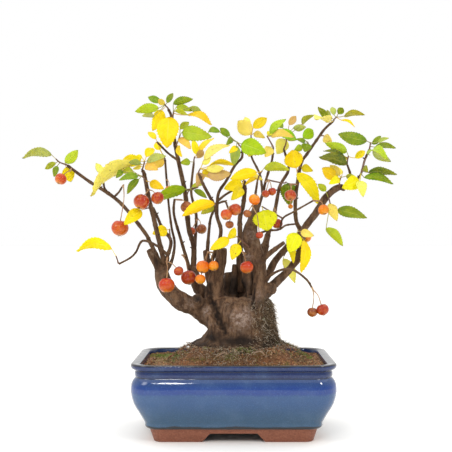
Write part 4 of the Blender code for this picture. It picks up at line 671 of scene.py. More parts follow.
def leaf_material():
    """Colour comes with each leaf; marks hold the place across it, along it and how worn it is."""
    made, g, shader = new_material("autumn_leaf")
    shade = g.shade()
    marks = g.marks()
    across = g.math("ABSOLUTE", marks["X"])
    slant = g.minus(g.times(marks["Y"], SIDE_VEINS), g.times(across, VEIN_SLANT))
    wave = g.math("ABSOLUTE", g.minus(g.math("FRACT", slant), 0.5))
    veins = g.times(g.ramp(wave, 0.10, 0.02), g.ramp(across, 0.98, 0.80))
    lines = g.math("MAXIMUM", g.ramp(across, 0.075, 0.02), g.times(veins, 0.6))
    mottle = g.noise(130.0, 5.0, 0.65)
    spots = g.times(g.ramp(g.noise(420.0, 2.0, 0.5), 0.66, 0.74), g.ramp(marks["Z"], 0.2, 0.9))
    margin = g.times(g.ramp(across, 0.86, 1.0), g.ramp(g.noise(90.0, 3.0), 0.52, 0.66))
    colour = g.tints(shade,
                     (g.mix(0.3, shade, (0.80, 0.74, 0.01)), 0.5, mottle, 0.38, 0.72),
                     (g.mix(0.5, shade, (0.14, 0.22, 0.01)), 0.45, mottle, 0.50, 0.28),
                     ((0.10, 0.05, 0.02), 0.85, spots),
                     ((0.34, 0.17, 0.05), 0.7, margin),
                     (g.mix(0.5, shade, (0.90, 0.84, 0.25)), 0.30, lines))
    g.fill(shader, {
        "Base Color": colour,
        "Roughness": 0.40,
        "Specular IOR Level": 0.18,
        "Subsurface Weight": 0.20,
        "Subsurface Radius": (1.0, 0.9, 0.1),
        "Subsurface Scale": 0.003,
        "Normal": g.bump(g.minus(g.times(mottle, 0.3), lines), 0.5, 0.0005),
    })
    return made


def fruit_material():
    """Colour comes with each fruit; marks hold the way from stalk to calyx, and which parts are dry."""
    made, g, shader = new_material("crabapple_skin")
    shade = g.shade()
    marks = g.marks()
    blotch = g.noise(160.0, 4.0, 0.6)
    skin = g.tints(shade,
                   (g.mix(0.6, shade, (0.85, 0.32, 0.02)), 0.45, blotch, 0.44, 0.70),
                   ((0.72, 0.38, 0.10), 0.6, marks["X"], 0.72, 1.0),
                   ((0.85, 0.55, 0.25), 0.25, g.cells(650.0), 0.16, 0.08))
    dry = g.between(blotch, 0.4, 0.6, (0.30, 0.15, 0.07), (0.46, 0.28, 0.13))
    g.fill(shader, {
        "Base Color": g.mix(marks["Z"], skin, dry),
        "Roughness": g.plus(g.times(marks["Z"], 0.35), 0.20),
        "Subsurface Weight": 0.12,
        "Subsurface Radius": (1.0, 0.4, 0.15),
        "Subsurface Scale": 0.002,
        "Specular IOR Level": 0.3,
        "Coat Weight": 0.12,
        "Coat Roughness": 0.10,
        "Normal": g.bump(blotch, 0.12, 0.0005),
    })
    return made


def bark_material():
    """Marks hold how mossy, how dark (painted shade in hollows, clefts and foot; the buds' own tone) and how
    old the wood is; shade is painted light on lit burls.
    """
    made, g, shader = new_material("bark")
    marks = g.marks()
    coarse = g.noise(75.0, 6.0, 0.65)
    streak = g.noise(170.0, 5.0, 0.7, (1.0, 1.0, 0.25))
    fine = g.noise(640.0, 5.0, 0.75)
    young = g.tints(g.between(coarse, 0.35, 0.65, (0.065, 0.030, 0.015), (0.160, 0.092, 0.044)),
                    ((0.28, 0.20, 0.12), 0.4, fine, 0.60, 0.74))
    grown = g.tints(g.between(streak, 0.36, 0.64, (0.060, 0.030, 0.016), (0.235, 0.135, 0.075)),
                    ((0.33, 0.235, 0.17), 0.55, coarse, 0.54, 0.70),
                    ((0.070, 0.036, 0.020), 0.55, coarse, 0.46, 0.34),
                    ((0.022, 0.012, 0.008), 0.75, fine, 0.46, 0.34))
    # Pale tone of the painted light on the lit burls, laid on where the shade attribute says
    worn_and_lit = g.between(g.noise(240.0, 4.0, 0.7), 0.40, 0.66, (0.15, 0.085, 0.055), (0.46, 0.36, 0.30))
    moss = g.tints(g.between(fine, 0.42, 0.62, (0.022, 0.014, 0.008), (0.15, 0.10, 0.05)),
                   ((0.62, 0.56, 0.46), 1.0, g.noise(190.0, 3.0), 0.62, 0.69),
                   ((0.10, 0.12, 0.02), 0.4, g.noise(95.0, 3.0), 0.58, 0.68))
    colour = g.tints(g.mix(marks["Z"], young, grown),
                     # painted light on the lit burls
                     (worn_and_lit, 0.7, g.shade("Fac")),
                     (moss, 1.0, marks["X"]),
                     # Painted shade in the hollows, clefts and at the foot of the old wood; on the buds,
                     # their own darker tone
                     ((0.012, 0.007, 0.005), 0.93, marks["Y"]))
    relief = g.plus(g.plus(g.times(streak, 0.8), g.times(fine, 0.45)), g.times(coarse, 1.2))
    g.fill(shader, {
        "Base Color": colour,
        "Roughness": g.plus(g.times(streak, 0.3), 0.55),
        "Specular IOR Level": 0.2,
        "Normal": g.bump(relief, 1.0, 0.0036),
    })
    return made


def soil_material():
    """Marks hold how mossy the soil is and how much dark litter lies on it."""
    made, g, shader = new_material("soil")
    marks = g.marks()
    grain = g.noise(520.0, 5.0, 0.75)
    moss = g.between(grain, 0.38, 0.62, (0.040, 0.055, 0.008), (0.19, 0.22, 0.028))
    colour = g.tints(g.between(grain, 0.34, 0.66, (0.070, 0.026, 0.011), (0.34, 0.150, 0.060)),
                     ((0.21, 0.11, 0.045), 0.5, g.noise(40.0, 4.0, 0.6), 0.48, 0.66),
                     ((0.055, 0.036, 0.022), 0.8, marks["Y"]),
                     (moss, 1.0, marks["X"]))
    g.fill(shader, {"Base Color": colour, "Roughness": 0.95, "Normal": g.bump(grain, 1.0, 0.0016)})
    return made


def shade_material(name, roughness):
    """A plain tissue whose colour comes with each point, broken up by fine noise."""
    made, g, shader = new_material(name)
    speck = g.noise(700.0, 4.0, 0.7)
    colour = g.tints(g.shade(), ((0.02, 0.015, 0.01), 0.5, speck, 0.55, 0.30))
    g.fill(shader, {"Base Color": colour, "Roughness": roughness, "Normal": g.bump(speck, 0.6, 0.0006)})
    return made


def plastic_material():
    made, g, shader = new_material("screen_plastic")
    colour = g.mix(g.noise(300.0), (0.015, 0.015, 0.016), (0.035, 0.035, 0.037))
    g.fill(shader, {"Base Color": colour, "Roughness": 0.5})
    return made


def pot_ring(half_width, height, steps=12, inset=0.0):
    """A rounded rectangle with the pot's proportions, whose corners tighten as it narrows."""
    across = half_width - inset
    deep = half_width * POT_HALF_DEPTH / POT_HALF_WIDTH - inset
    radius = CORNER_RADIUS - 0.55 * (POT_HALF_WIDTH - half_width) - inset
    ring = []
    for corner, (side_x, side_y) in enumerate(((1, 1), (-1, 1), (-1, -1), (1, -1))):
        for step in range(steps + 1):
            turn = math.radians(90 * (corner + step / steps))
            ring.append(Vector((side_x * (across - radius) + radius * math.cos(turn),
                                side_y * (deep - radius) + radius * math.sin(turn), height)))
    return ring


def cutter(name, rows):
    piece = Piece()
    piece.add(rows)
    made = piece.build(name)
    face_outward(made.data)
    return made


def build_pot():
    piece = Piece()
    profile = ((92.0, FLOOR_UNDERSIDE),) + POT_OUTSIDE + POT_INSIDE
    piece.add([pot_ring(half, height) for half, height in profile])
    pot = piece.build("glazed_pot", glaze_material())
    face_outward(pot.data)
    cutters = []
    for along_x, half_top, half_bottom in NOTCHES:
        rows = []
        for height, half in ((-5.0, half_bottom + 4), (NOTCH_HEIGHT, half_top)):
            corners = ((-half, -150.0), (-half, 150.0), (half, 150.0), (half, -150.0))
            rows.append([Vector((b, a, height) if along_x else (a, b, height)) for a, b in corners])
        cutters.append(cutter("notch", rows))
    turns = [math.tau * i / DRAIN_SIDES for i in range(DRAIN_SIDES)]
    for middle in (-DRAIN_X, DRAIN_X):
        rows = [[Vector((middle + DRAIN_RADIUS * math.cos(turn), DRAIN_RADIUS * math.sin(turn), height))
                 for turn in turns] for height in (10.0, 40.0)]
        cutters.append(cutter("drain", rows))
    for drill in cutters:
        add_modifier(pot, drill.name, "BOOLEAN", operation="DIFFERENCE", object=drill, solver="EXACT")
    add_modifier(pot, "round_off", "BEVEL", width=RIM_ROUNDING * MM, segments=2, limit_method="ANGLE",
                 angle_limit=SHARP_FROM)
    apply_modifiers(pot)
    for drill in cutters:
        bpy.data.objects.remove(drill)
    pot.data.shade_smooth()
    pot.data.set_sharp_from_angle(angle=SHARP_FROM)
    finish_piece(pot, "glaze", "pot")


def soil_height(x, y):
    """The soil's surface: level by the wall, mounded up to the trunk, with low lumps."""
    reach = math.hypot((x - ROOT_X) / MOUND_HALF_WIDTH, y / MOUND_HALF_DEPTH)
    rise = 0.5 + 0.5 * math.cos(math.pi * clamp((reach - MOUND_LEVEL) / (1.0 - MOUND_LEVEL)))
    lumps = 0.9 * math.sin(0.19 * x + 0.6) * math.cos(0.23 * y + 0.4) + 0.5 * math.sin(0.41 * x - 0.33 * y)
    return SOIL_EDGE_HEIGHT + (SOIL_MOUND_HEIGHT - SOIL_EDGE_HEIGHT) * rise + lumps


def moss_at(x, y):
    """How mossy the soil is: strips by the left wall and behind, and tufts by the trunk."""
    share = 0.0
    for centre_x, centre_y, wide, deep in MOSS_PATCHES:
        share = max(share, 1.25 - math.hypot((x - centre_x) / wide, (y - centre_y) / deep))
    return clamp(1.6 * (share + 0.45 * noise.noise(Vector((x, y, 0)) * 0.12)))


def litter_at(x, y):
    """How much dark litter and dead grass lies at a place: most of it round the trunk."""
    reach = math.hypot((x - ROOT_X) / 92.0, y / 68.0)
    return clamp(2.2 * (1.02 - reach) + 0.5 * noise.noise(Vector((x, y, 9)) * 0.07))


def soil_top(x, y):
    rough = 1.3 * noise.noise(Vector((x, y, 0)) * 0.22) + 0.9 * noise.noise(Vector((x, y, 5)) * 0.6)
    return soil_height(x, y) + rough + 1.5 * moss_at(x, y)


def build_soil():
    brim = pot_ring(SOIL_BRIM, 0.0, 22, GAP)
    rings = [[Vector((p.x, p.y, SOIL_SKIRT)) for p in brim]]
    for index in range(SOIL_RINGS):
        share = 1.0 - 0.0125 * index
        spots = [(ROOT_X * (1 - share) + p.x * share, p.y * share) for p in brim]
        rings.append([Vector((x, y, soil_top(x, y))) for x, y in spots])
    piece = Piece()
    piece.add(rings, [[(moss_at(p.x, p.y), litter_at(p.x, p.y), 0.0) for p in ring] for ring in rings],
              caps=(False, True))
    finish_piece(piece.build("soil_bed", soil_material()), "soil_grain", "soil")


def random_soil_place(draw):
    """A place on the soil, clear of the trunk and of the pot's corners."""
    while True:
        x = draw.uniform(-SOIL_HALF_WIDTH, SOIL_HALF_WIDTH)
        y = draw.uniform(-SOIL_HALF_DEPTH, SOIL_HALF_DEPTH)
        is_clear = math.hypot((x - ROOT_X) / BARE_HALF_WIDTH, y / BARE_HALF_DEPTH) > 1.0
        if is_clear and (abs(x) < CORNER_FROM_X or abs(y) < CORNER_FROM_Y):
            return x, y


def build_grains():
    """Loose grains of baked clay and bark crumbs, half sunk in the soil."""
    draw = random.Random(11)
    piece = Piece()
    for _ in range(GRAINS):
        x, y = random_soil_place(draw)
        size = draw.uniform(0.5, 1.25) * (1.35 if draw.random() < 0.12 else 1.0)
        if moss_at(x, y) > 0.5 and draw.random() < 0.8:
            continue
        centre = Vector((x, y, soil_top(x, y) + 0.25 * size))
        spin = draw.uniform(0, 6.28)
        turn = Matrix.Rotation(spin, 3, Vector((draw.uniform(-1, 1), draw.uniform(-1, 1), 1)))
        tone = draw.choice(GRAIN_TONES)
        rows = []
        for level, width in ((-0.8, 0.55), (0.1, 1.0), (0.8, 0.5)):
            rows.append([centre + turn @ Vector((size * width * draw.uniform(0.75, 1.15) * math.cos(a),
                                                 size * width * draw.uniform(0.75, 1.15) * math.sin(a),
                                                 size * level * 0.9)) for a in (0.0, 1.26, 2.5, 3.8, 5.0)])
        piece.add(rows, shade=tone)
    grains = piece.build("soil_grains", shade_material("soil_crumb", 0.95))
    grains.data.shade_flat()
    finish_piece(grains, "soil_grain")


def strand(piece, start, heading, length, radius, tone, draw, droop, curl, steps=5):
    """A thin dead stem or grass blade that follows a wandering line."""
    rows = []
    spot = start.copy()
    way = heading.normalized()
    for step in range(steps + 1):
        side = way.cross(Vector((0.3, 0.2, 1))).normalized()
        up = side.cross(way)
        thick = radius * (1.0 - 0.6 * step / steps)
        rows.append([spot + side * thick, spot + up * thick, spot - side * thick])
        spot = spot + way * (length / steps)
        stray = Vector((draw.uniform(-1, 1), draw.uniform(-1, 1), draw.uniform(-1, 1) - droop))
        way = (way + stray * curl).normalized()
    piece.add(rows, shade=tone)


def soil_strand(piece, x, y, lift, rise, length, radius, tones, draw, *bending):
    """A strand that springs from the soil to any side; rise, length and radius are ranges."""
    start = Vector((x, y, soil_top(x, y) + lift))
    turn = draw.uniform(0, math.tau)
    heading = Vector((math.cos(turn), math.sin(turn), draw.uniform(*rise)))
    size = (draw.uniform(*length), draw.uniform(*radius))
    strand(piece, start, heading, *size, draw.choice(tones), draw, *bending)


def build_grass(trunk_tree):
    """Dead grass and fine roots on the mound, before it, and on the mossy right flank of the trunk."""
    draw = random.Random(23)
    piece = Piece()
    count = 0
    while count < GRASS_ON_MOUND:
        x, y = random_soil_place(draw)
        if draw.random() > litter_at(x, y):
            continue
        count += 1
        soil_strand(piece, x, y, 0.3, (0.0, 0.7), (4, 13), (0.16, 0.38), GRASS_TONES, draw, 0.5, 0.35)
    for _ in range(GRASS_IN_FRONT):
        x = draw.gauss(-4, 24)
        y = draw.uniform(-76, -44)
        soil_strand(piece, x, y, 0.4, (0.1, 1.0), (5, 12), (0.18, 0.34), GRASS_TONES[:3], draw, 0.7, 0.75, 7)
    flank_from = in_frame(Vector((24, 0, 0))).x
    for _ in range(GRASS_ON_TRUNK):
        turn = draw.uniform(-1.5, 1.2)
        height = draw.uniform(116, 178)
        origin = Vector((ROOT_X + 120 * math.cos(turn), 120 * math.sin(turn), height))
        aim = Vector((ROOT_X + 18, 0, height)) - origin
        hit, normal, _, _ = trunk_tree.ray_cast(in_frame(origin), aim.normalized(), 0.3)
        if hit is None or hit.x < flank_from or hit.z / MM > 182:
            continue
        start = round_pot(hit)
        heading = normal * 0.8 + Vector((draw.uniform(-1, 1), draw.uniform(-1, 1), draw.uniform(-1.2, 0.6)))
        tone = draw.choice(GRASS_TONES[1:] if draw.random() < 0.8 else GRASS_TONES)
        size = (draw.uniform(3, 9.5), draw.uniform(0.18, 0.55))
        strand(piece, start - normal * 0.4, heading, *size, tone, draw, 0.4, 0.4)
    finish_piece(piece.build("dead_grass", shade_material("dead_grass_tissue", 0.85)), "soil_grain")


def build_fallen_twigs():
    twigs = Piece()
    for x0, x1, y0, bow in FALLEN_TWIGS:
        rows = []
        for step in range(9):
            share = step / 8
            x = x0 + (x1 - x0) * share
            y = y0 + bow * math.sin(2.5 * share)
            spot = Vector((x, y, soil_top(x, y) + 1.6 + 2.0 * math.sin(math.pi * share)))
            rows.append([spot + Vector((0, 0.8 * math.cos(a), 0.8 * math.sin(a)))
                         for a in (0, 1.05, 2.1, 3.14, 4.2, 5.2)])
        twigs.add(rows, shade=(0.38, 0.26, 0.17))
    finish_piece(twigs.build("fallen_twigs", shade_material("fallen_twig_wood", 0.8)), "soil_grain")


def build_moss():
    """Tufts of moss: short three-sided blades that stand on the mossy patches of soil."""
    draw = random.Random(31)
    piece = Piece()
    placed_tufts = 0
    tries = 0
    while placed_tufts < MOSS_TUFTS and tries < 60000:
        tries += 1
        x, y = random_soil_place(draw)
        if draw.random() > moss_at(x, y) * 1.1 - 0.1:
            continue
        placed_tufts += 1
        start = Vector((x, y, soil_top(x, y) - 0.3))
        lean = Vector((draw.uniform(-0.7, 0.7), draw.uniform(-0.7, 0.7), 1.0)).normalized()
        top = start + lean * draw.uniform(0.9, 2.3)
        side = lean.cross(Vector((math.cos(tries), math.sin(tries), 0))).normalized()
        side = side * draw.uniform(0.22, 0.40)
        front = lean.cross(side)
        rows = [[start + side, start - side * 0.5 + front * 0.8, start - side * 0.5 - front * 0.8],
                [top + side * 0.1, top + front * 0.1, top - front * 0.1]]
        piece.add(rows, shade=draw.choice(MOSS_TONES), caps=(False, True))
    finish_piece(piece.build("moss", shade_material("moss_tissue", 0.8)), "soil_grain")


def smooth_route(points, steps):
    """Points on a smooth curve through a route of (place, radius), so that limbs bend without kinks."""
    padded = [points[0]] + list(points) + [points[-1]]
    made = []
    for index in range(1, len(padded) - 2):
        (p0, _), (p1, r1), (p2, r2), (p3, _) = padded[index - 1:index + 3]
        for step in range(steps):
            t = step / steps
            spot = 0.5 * ((2 * p1) + (p2 - p0) * t + (2 * p0 - 5 * p1 + 4 * p2 - p3) * t * t
                          + (3 * p1 - p0 - 3 * p2 + p3) * t ** 3)
            made.append((spot, r1 + (r2 - r1) * t))
    made.append(points[-1])
    return made


def tube_rows(route, sides):
    """Rings round a route, carried along it without twist."""
    rows = []
    side = None
    for index, (spot, radius) in enumerate(route):
        before = route[max(0, index - 1)][0]
        after = route[min(len(route) - 1, index + 1)][0]
        way = (after - before).normalized()
        if side is None:
            side = way.orthogonal().normalized()
        side = (side - way * side.dot(way)).normalized()
        up = way.cross(side)
        rows.append([spot + side * (radius * math.cos(a)) + up * (radius * math.sin(a))
                     for a in (math.tau * i / sides for i in range(sides))])
    return rows


def trunk_ring(y_px, left_px, right_px, thickness):
    left = at(left_px, y_px, 0)
    right = at(right_px, y_px, 0)
    middle = 0.5 * (left + right)
    half = 0.5 * (right.x - left.x)
    ring = []
    for index in range(TRUNK_SIDES):
        turn = math.tau * index / TRUNK_SIDES
        furrow = 1 + 0.05 * math.sin(3 * turn + 0.02 * y_px) + 0.035 * math.sin(5 * turn + 1.3)
        if abs(math.cos(turn)) > 0.9:
            furrow = 1.0
        ring.append(Vector((middle.x + half * furrow * math.cos(turn),
                            0.5 * thickness * furrow * math.sin(turn), middle.z)))
    return ring


def trunk_rows():
    """The trunk's rings, from a skirt in the soil up to the edge of its hollow top and down into it."""
    rings = []
    for stage, after in zip(TRUNK, TRUNK[1:]):
        for step in range(4):
            rings.append(trunk_ring(*(a + (b - a) * step / 4 for a, b in zip(stage, after))))
    crown = trunk_ring(*TRUNK[-1])
    centre = sum(crown, Vector()) / len(crown)
    skirt = [Vector((p.x, p.y, TRUNK_SKIRT)) for p in rings[0]]
    rings = [skirt] + rings + [crown]
    for shrink, drop in ((0.86, -1.0), (0.72, 1.0), (0.55, 9.0)):
        rings.append([centre + (p - centre) * shrink + Vector((0, 0, -drop)) for p in crown])
    return rings


def ellipsoid(name, centre, scale):
    mesh = bpy.data.meshes.new(name)
    made = bmesh.new()
    bmesh.ops.create_uvsphere(made, u_segments=24, v_segments=14, radius=1.0)
    for vert in made.verts:
        vert.co = in_frame(centre + vert.co * Vector(scale))
    made.to_mesh(mesh)
    made.free()
    return add_object(name, mesh)


# The old wood's clefts, darkened with painted shade and grooved, as lines of pixels with a depth in mm and a
# half-width in mm
CLEFTS = (
    ((213, 303, -20, 4.5), (215, 309, -28, 5), (218, 317, -32, 5.5), (222, 326, -36, 5), (226, 334, -38, 4)),
    ((209, 284, -8, 5), (209.5, 294, -10, 6), (211, 302, -14, 4)),
    ((254.5, 284, -26, 2), (253, 296, -30, 3.5), (254, 306, -32, 4), (257, 314, -30, 2)),
    ((243, 292, -34, 4), (250, 299, -36, 4)),
)
# Shaded hollows, then lit burls: the place, the reach in width, depth and height in mm, and the strength
DARK_SPOTS = (
    (at(236, 286, -6), (24, 34, 20), 2.2), (at(240, 342, -42), (60, 44, 12), 1.3),
    (at(196, 298, -34), (10, 16, 10), 2.0), (at(221.5, 248, -16), (7, 9, 9), 0.9),
    (at(239, 210, 2), (6, 14, 9), 0.8), (at(157, 262, -14), (8, 12, 12), 1.0),
    (at(273, 289, -30), (10, 16, 9), 0.9), (at(212, 338, -30), (20, 36, 12), 1.3),
)
PALE_SPOTS = (
    (at(243, 318, -48), (22, 26, 20), 1.15), (at(206, 311, -24), (8, 22, 11), 0.8),
    (at(190, 306, -20), (10, 16, 7), 0.6), (at(248, 256, -18), (10, 14, 16), 0.6),
    (at(252, 234, -20), (12, 16, 14), 0.5), (at(231, 329, -44), (9, 22, 8), 0.5),
    (at(258, 300, -30), (7, 12, 16), 0.7),
)


def strongest(place, spots):
    """The greatest strength that the spots have at a place: each fades from its middle to its reach."""
    greatest = 0.0
    for spot, reach, strength in spots:
        away = Vector([(a - b) / size for a, b, size in zip(place, spot, reach)]).length
        greatest = max(greatest, strength * max(0.0, 1.0 - away))
    return greatest


def cleft_depth(place):
    """How deep in a cleft a place of the old wood's front is: 1 in the middle, 0 outside; it sets the
    clefts' painted shade.
    """
    deepest = 0.0
    for line in CLEFTS:
        for (x0, y0, d0, w0), (x1, y1, d1, w1) in zip(line, line[1:]):
            start = at(x0, y0, d0)
            way = at(x1, y1, d1) - start
            share = clamp((place - start).dot(way) / way.length_squared)
            away = place - start - way * share
            reach = math.hypot(away.x, away.z) / (w0 + (w1 - w0) * share)
            if abs(away.y) < 26:
                deepest = max(deepest, 1.3 - reach + 0.7 * noise.noise(place * 0.22))
    return min(1.0, deepest)


def wood_marks(place):
    """Moss, painted shade (darkness) and painted light (paleness) of the bark at a place round the pot's
    middle.
    """
    wobble = 0.35 * noise.fractal(place * 0.05, 0.9, 2.1, 3)
    mossy = clamp((place.x - 30) / 14 + wobble * 2) * clamp((186 - place.z) / 10)
    # foot: painted shade low on the stump, down by the soil
    foot = clamp((132 - place.z) / 12 + wobble)
    # Darkness: painted shade at the foot, in the clefts and in the shaded hollows
    dark = max(0.8 * foot, cleft_depth(place), strongest(place, DARK_SPOTS))
    dark = clamp(dark + 0.5 * wobble)
    # Paleness: painted light on the lit burls
    pale = clamp(1.6 * strongest(place, PALE_SPOTS) + 0.8 * wobble)
    return mossy, dark, pale * (1.0 - dark) * (1.0 - mossy)


def relief_at(place, mossy, dark, stump):
    """How far the bark stands out in mm, for lumps, upright plates, moss and the stump's clefts."""
    along = Vector((place.x, place.y, place.z * 0.45))
    plates = abs(noise.noise(along * 0.16)) + 0.5 * abs(noise.noise(along * 0.37))
    lumps = 2.0 * noise.noise(place * 0.05) + 1.5 * noise.noise(place * 0.12)
    rough = (0.35 + 0.65 * mossy) * (2.2 * plates - 0.8) + mossy * 1.8 * noise.noise(place * 0.45)
    groove = -3.5 * max(0.0, dark - 0.45) if place.y < 0 and place.z > 135 else 0.0
    return (lumps * (0.4 + 0.9 * stump) + rough * (0.6 + 0.7 * stump) + groove * stump) * 0.8


def build_old_wood(look):
    """The stump and old limbs become one skin by a voxel remesh, then take their bark relief."""
    piece = Piece()
    piece.add(trunk_rows())
    for route in OLD_WOOD.values():
        piece.add(tube_rows(smooth_route(placed(route), 6), 20))
    wood = piece.build("old_wood")
    hollow = ellipsoid("hollow", at(*HOLLOW[0]), HOLLOW[1])
    add_modifier(wood, "skin", "REMESH", mode="VOXEL", voxel_size=SKIN_VOXEL * MM)
    add_modifier(wood, "carve", "BOOLEAN", operation="DIFFERENCE", object=hollow, solver="MANIFOLD")
    add_modifier(wood, "again", "REMESH", mode="VOXEL", voxel_size=CARVED_VOXEL * MM)
    add_modifier(wood, "soften", "SMOOTH", factor=0.5, iterations=4)
    apply_modifiers(wood)
    bpy.data.objects.remove(hollow)
    mesh = wood.data
    marks = []
    shades = []
    moved = []
    for vert in mesh.vertices:
        place = round_pot(vert.co)
        mossy, dark, pale = wood_marks(place)
        stump = clamp((205 - place.z) / 20)
        moved.extend(vert.co + vert.normal * (relief_at(place, mossy, dark, stump) * MM))
        # Marks: moss, painted shade and age; the shade attribute holds the painted light on the lit burls
        marks.extend((mossy, dark, min(1.0, 0.75 + 0.25 * stump)))
        shades.extend((pale, pale, pale, 1.0))
    mesh.vertices.foreach_set("co", moved)
    mesh.update()
    store_points(mesh, marks, shades)
    mesh.materials.clear()
    mesh.materials.append(look)
    mesh.shade_smooth()
    return finish_piece(wood, "bark", "wood")


def build_shoots(look):
    """Shoots and twigs, knotted at their nodes, with buds."""
    piece = Piece()
    draw = random.Random(5)
    for route in SHOOTS.values():
        knotted = []
        seed = draw.uniform(0, 50)
        for index, (spot, radius) in enumerate(smooth_route(placed(route), 9)):
            swell = 1.0 + 0.10 * noise.noise(Vector((seed, index * 0.5, 0)))
            if index % 8 == 5:
                swell += 0.16
            knotted.append((spot, radius * swell))
        age = min(0.8, max(0.0, (route[0][3] - 2.2) / 3.0))
        ends = len(knotted)
        ages = [[(0.0, 0.0, age * (1 - 0.5 * r / ends))] * 12 for r in range(ends)]
        piece.add(tube_rows(knotted, 12), ages)
        for index in range(8, ends - 4, 11):
            spot, radius = knotted[index]
            if draw.random() < 0.55 or radius < 1.3:
                continue
            turn = draw.uniform(0, math.tau)
            out = Vector((math.cos(turn), math.sin(turn), draw.uniform(0.3, 0.9))).normalized()
            bud = [(spot, 1.1), (spot + out * (radius + 1.2), 1.0), (spot + out * (radius + 2.6), 0.35)]
            piece.add(tube_rows(bud, 6), (0.0, 0.3, 0.0))
    finish_piece(piece.build("shoots", look), "bark", "wood")


def nearest_on_wood(place):
    """The nearest place on the wood's middle lines, with its radius, its way and its share of a stretch."""
    found = []
    for route in (*OLD_WOOD.values(), *SHOOTS.values()):
        spots = placed(route)
        for (start, r0), (end, r1) in zip(spots, spots[1:]):
            line = end - start
            share = clamp((place - start).dot(line) / line.length_squared)
            spot = start + line * share
            found.append(((place - spot).length, spot, r0 + (r1 - r0) * share, line.normalized(), share))
    return min(found, key=lambda one: one[0])[1:]


def seat(start, towards):
    """Where a shoot or spur starts on the wood, and the way it leaves."""
    spot, radius, along, share = nearest_on_wood(start)
    away = (towards - spot).normalized()
    if share >= 1.0 and away.dot(along) > 0.6:
        return spot + along * GAP, along
    across = (away - along * away.dot(along)).normalized()
    return spot + across * (radius + GAP), across


def root_on_shoot(x_px, y_px, spots):
    """The point of a shoot nearest to a pixel, which a leaf's stalk springs from."""
    tries = [
        start.lerp(end, 0.25 + 0.09 * step)
        for start, end in zip(spots, spots[1:])
        for step in range(9)
    ]
    return min(tries, key=lambda spot: (spot - at(x_px, y_px, spot.y)).length)


def leaf_places(leaf, root, bend):
    """Where a leaf's blade starts and ends when it is bent away from its neighbours."""
    x0, y0, x1, y1, _, lean, _, _ = leaf
    move, rise = bend
    base = at(x0, y0, root.y + 0.3 * move) + Vector((0, 0, 0.3 * rise))
    tip = at(x1, y1, root.y + lean + move) + Vector((0, 0, rise))
    if (base - root).normalized().dot((tip - base).normalized()) < -0.25:
        base = root.lerp(tip, 0.15)
    return base, tip


def leaf_frame(base, tip, seen_width, turn_side):
    """A leaf's length, its width, and its ways along, across and up, rolled to show the width seen."""
    along = tip - base
    length = along.length
    along.normalize()
    width = max(seen_width, 0.40 * length)
    across = along.cross(Vector((0, 1, 0)))
    if across.length < 0.2:
        across = along.cross(Vector((1, 0, 0)))
    across.normalize()
    roll = math.acos(min(1.0, seen_width / width)) * turn_side
    across = Matrix.Rotation(roll, 3, along) @ across
    face = across.cross(along).normalized()
    if face.z < 0:
        face = -face
    return length, width, along, across, face


def blade_half(share):
    """Half-width of a crabapple leaf along its length, as a share of its widest."""
    return max(0.0, math.sin(math.pi * min(1.0, share ** 0.78)) ** 0.72 * (1.0 - 0.28 * share)) * 1.12


def blend(one, two, share):
    return [a + (b - a) * share for a, b in zip(one, two)]


def add_leaf(piece, root, base, tip, seen_width, arch, turn_side, colour, draw):
    """A cupped, twisted blade with toothed edges and raised veins; gives back its stalk's route and tone."""
    length, width, along, across, face = leaf_frame(base, tip, seen_width, turn_side)
    tone = [part * draw.uniform(0.86, 1.14) for part in colour]
    tip_tone = [0.88 * part + 0.12 * other for part, other in zip(tone, (0.75, 0.55, 0.01))]
    worn_and_lit = draw.uniform(0.2, 1.0)
    seed = draw.uniform(0, 99)
    curl = draw.uniform(0.16, 0.36)
    twist = draw.uniform(-0.35, 0.35)
    sheet = []
    marks = []
    tones = []
    for r in range(LEAF_ROWS + 1):
        share = r / LEAF_ROWS
        bow = face * (arch * length * math.sin(math.pi * min(1.0, share * 1.08)))
        rib = base + along * (length * share) + bow
        tooth = 0.075 * (1 if r % 2 else -0.4) * (1.0 if 0.08 < share < 0.93 else 0.0)
        half = 0.5 * width * blade_half(share)
        spin = Matrix.Rotation(twist * share, 3, along)
        row = []
        for c in range(-LEAF_COLUMNS, LEAF_COLUMNS + 1):
            u = c / LEAF_COLUMNS
            out = abs(u)
            is_edge = out > 0.99
            reach = half * u * (1.0 + (tooth if is_edge else 0.0))
            lift = curl * half * out ** 1.5 + 0.05 * width * noise.noise(Vector((u * 1.5, share * 4, seed)))
            veins = math.cos(2 * math.pi * (share * SIDE_VEINS - out * VEIN_SLANT))
            ridge = 0.018 * width * veins * min(1, 3 * out)
            ahead = along * (0.10 * half * out + (0.02 * length if tooth > 0 and is_edge else 0.0))
            row.append(rib + spin @ (across * reach + face * (lift + ridge)) + ahead)
        sheet.append(row)
        marks.append([(c / LEAF_COLUMNS, share, worn_and_lit) for c in range(-LEAF_COLUMNS, LEAF_COLUMNS + 1)])
        tones.append([blend(tone, tip_tone, share)] * len(row))
    piece.add(sheet, marks, tones, closed=False, caps=(False, False))
    bend = root.lerp(base, 0.5) + Vector((0, 0, -0.05)) * (base - root).length
    stalk = [(root, 0.62), (bend, 0.5), (base + along * 0.5, 0.5), (base + along * length * 0.12, 0.34)]
    return smooth_route(stalk, 3), tuple(blend(tone, (0.45, 0.22, 0.06), 0.4))


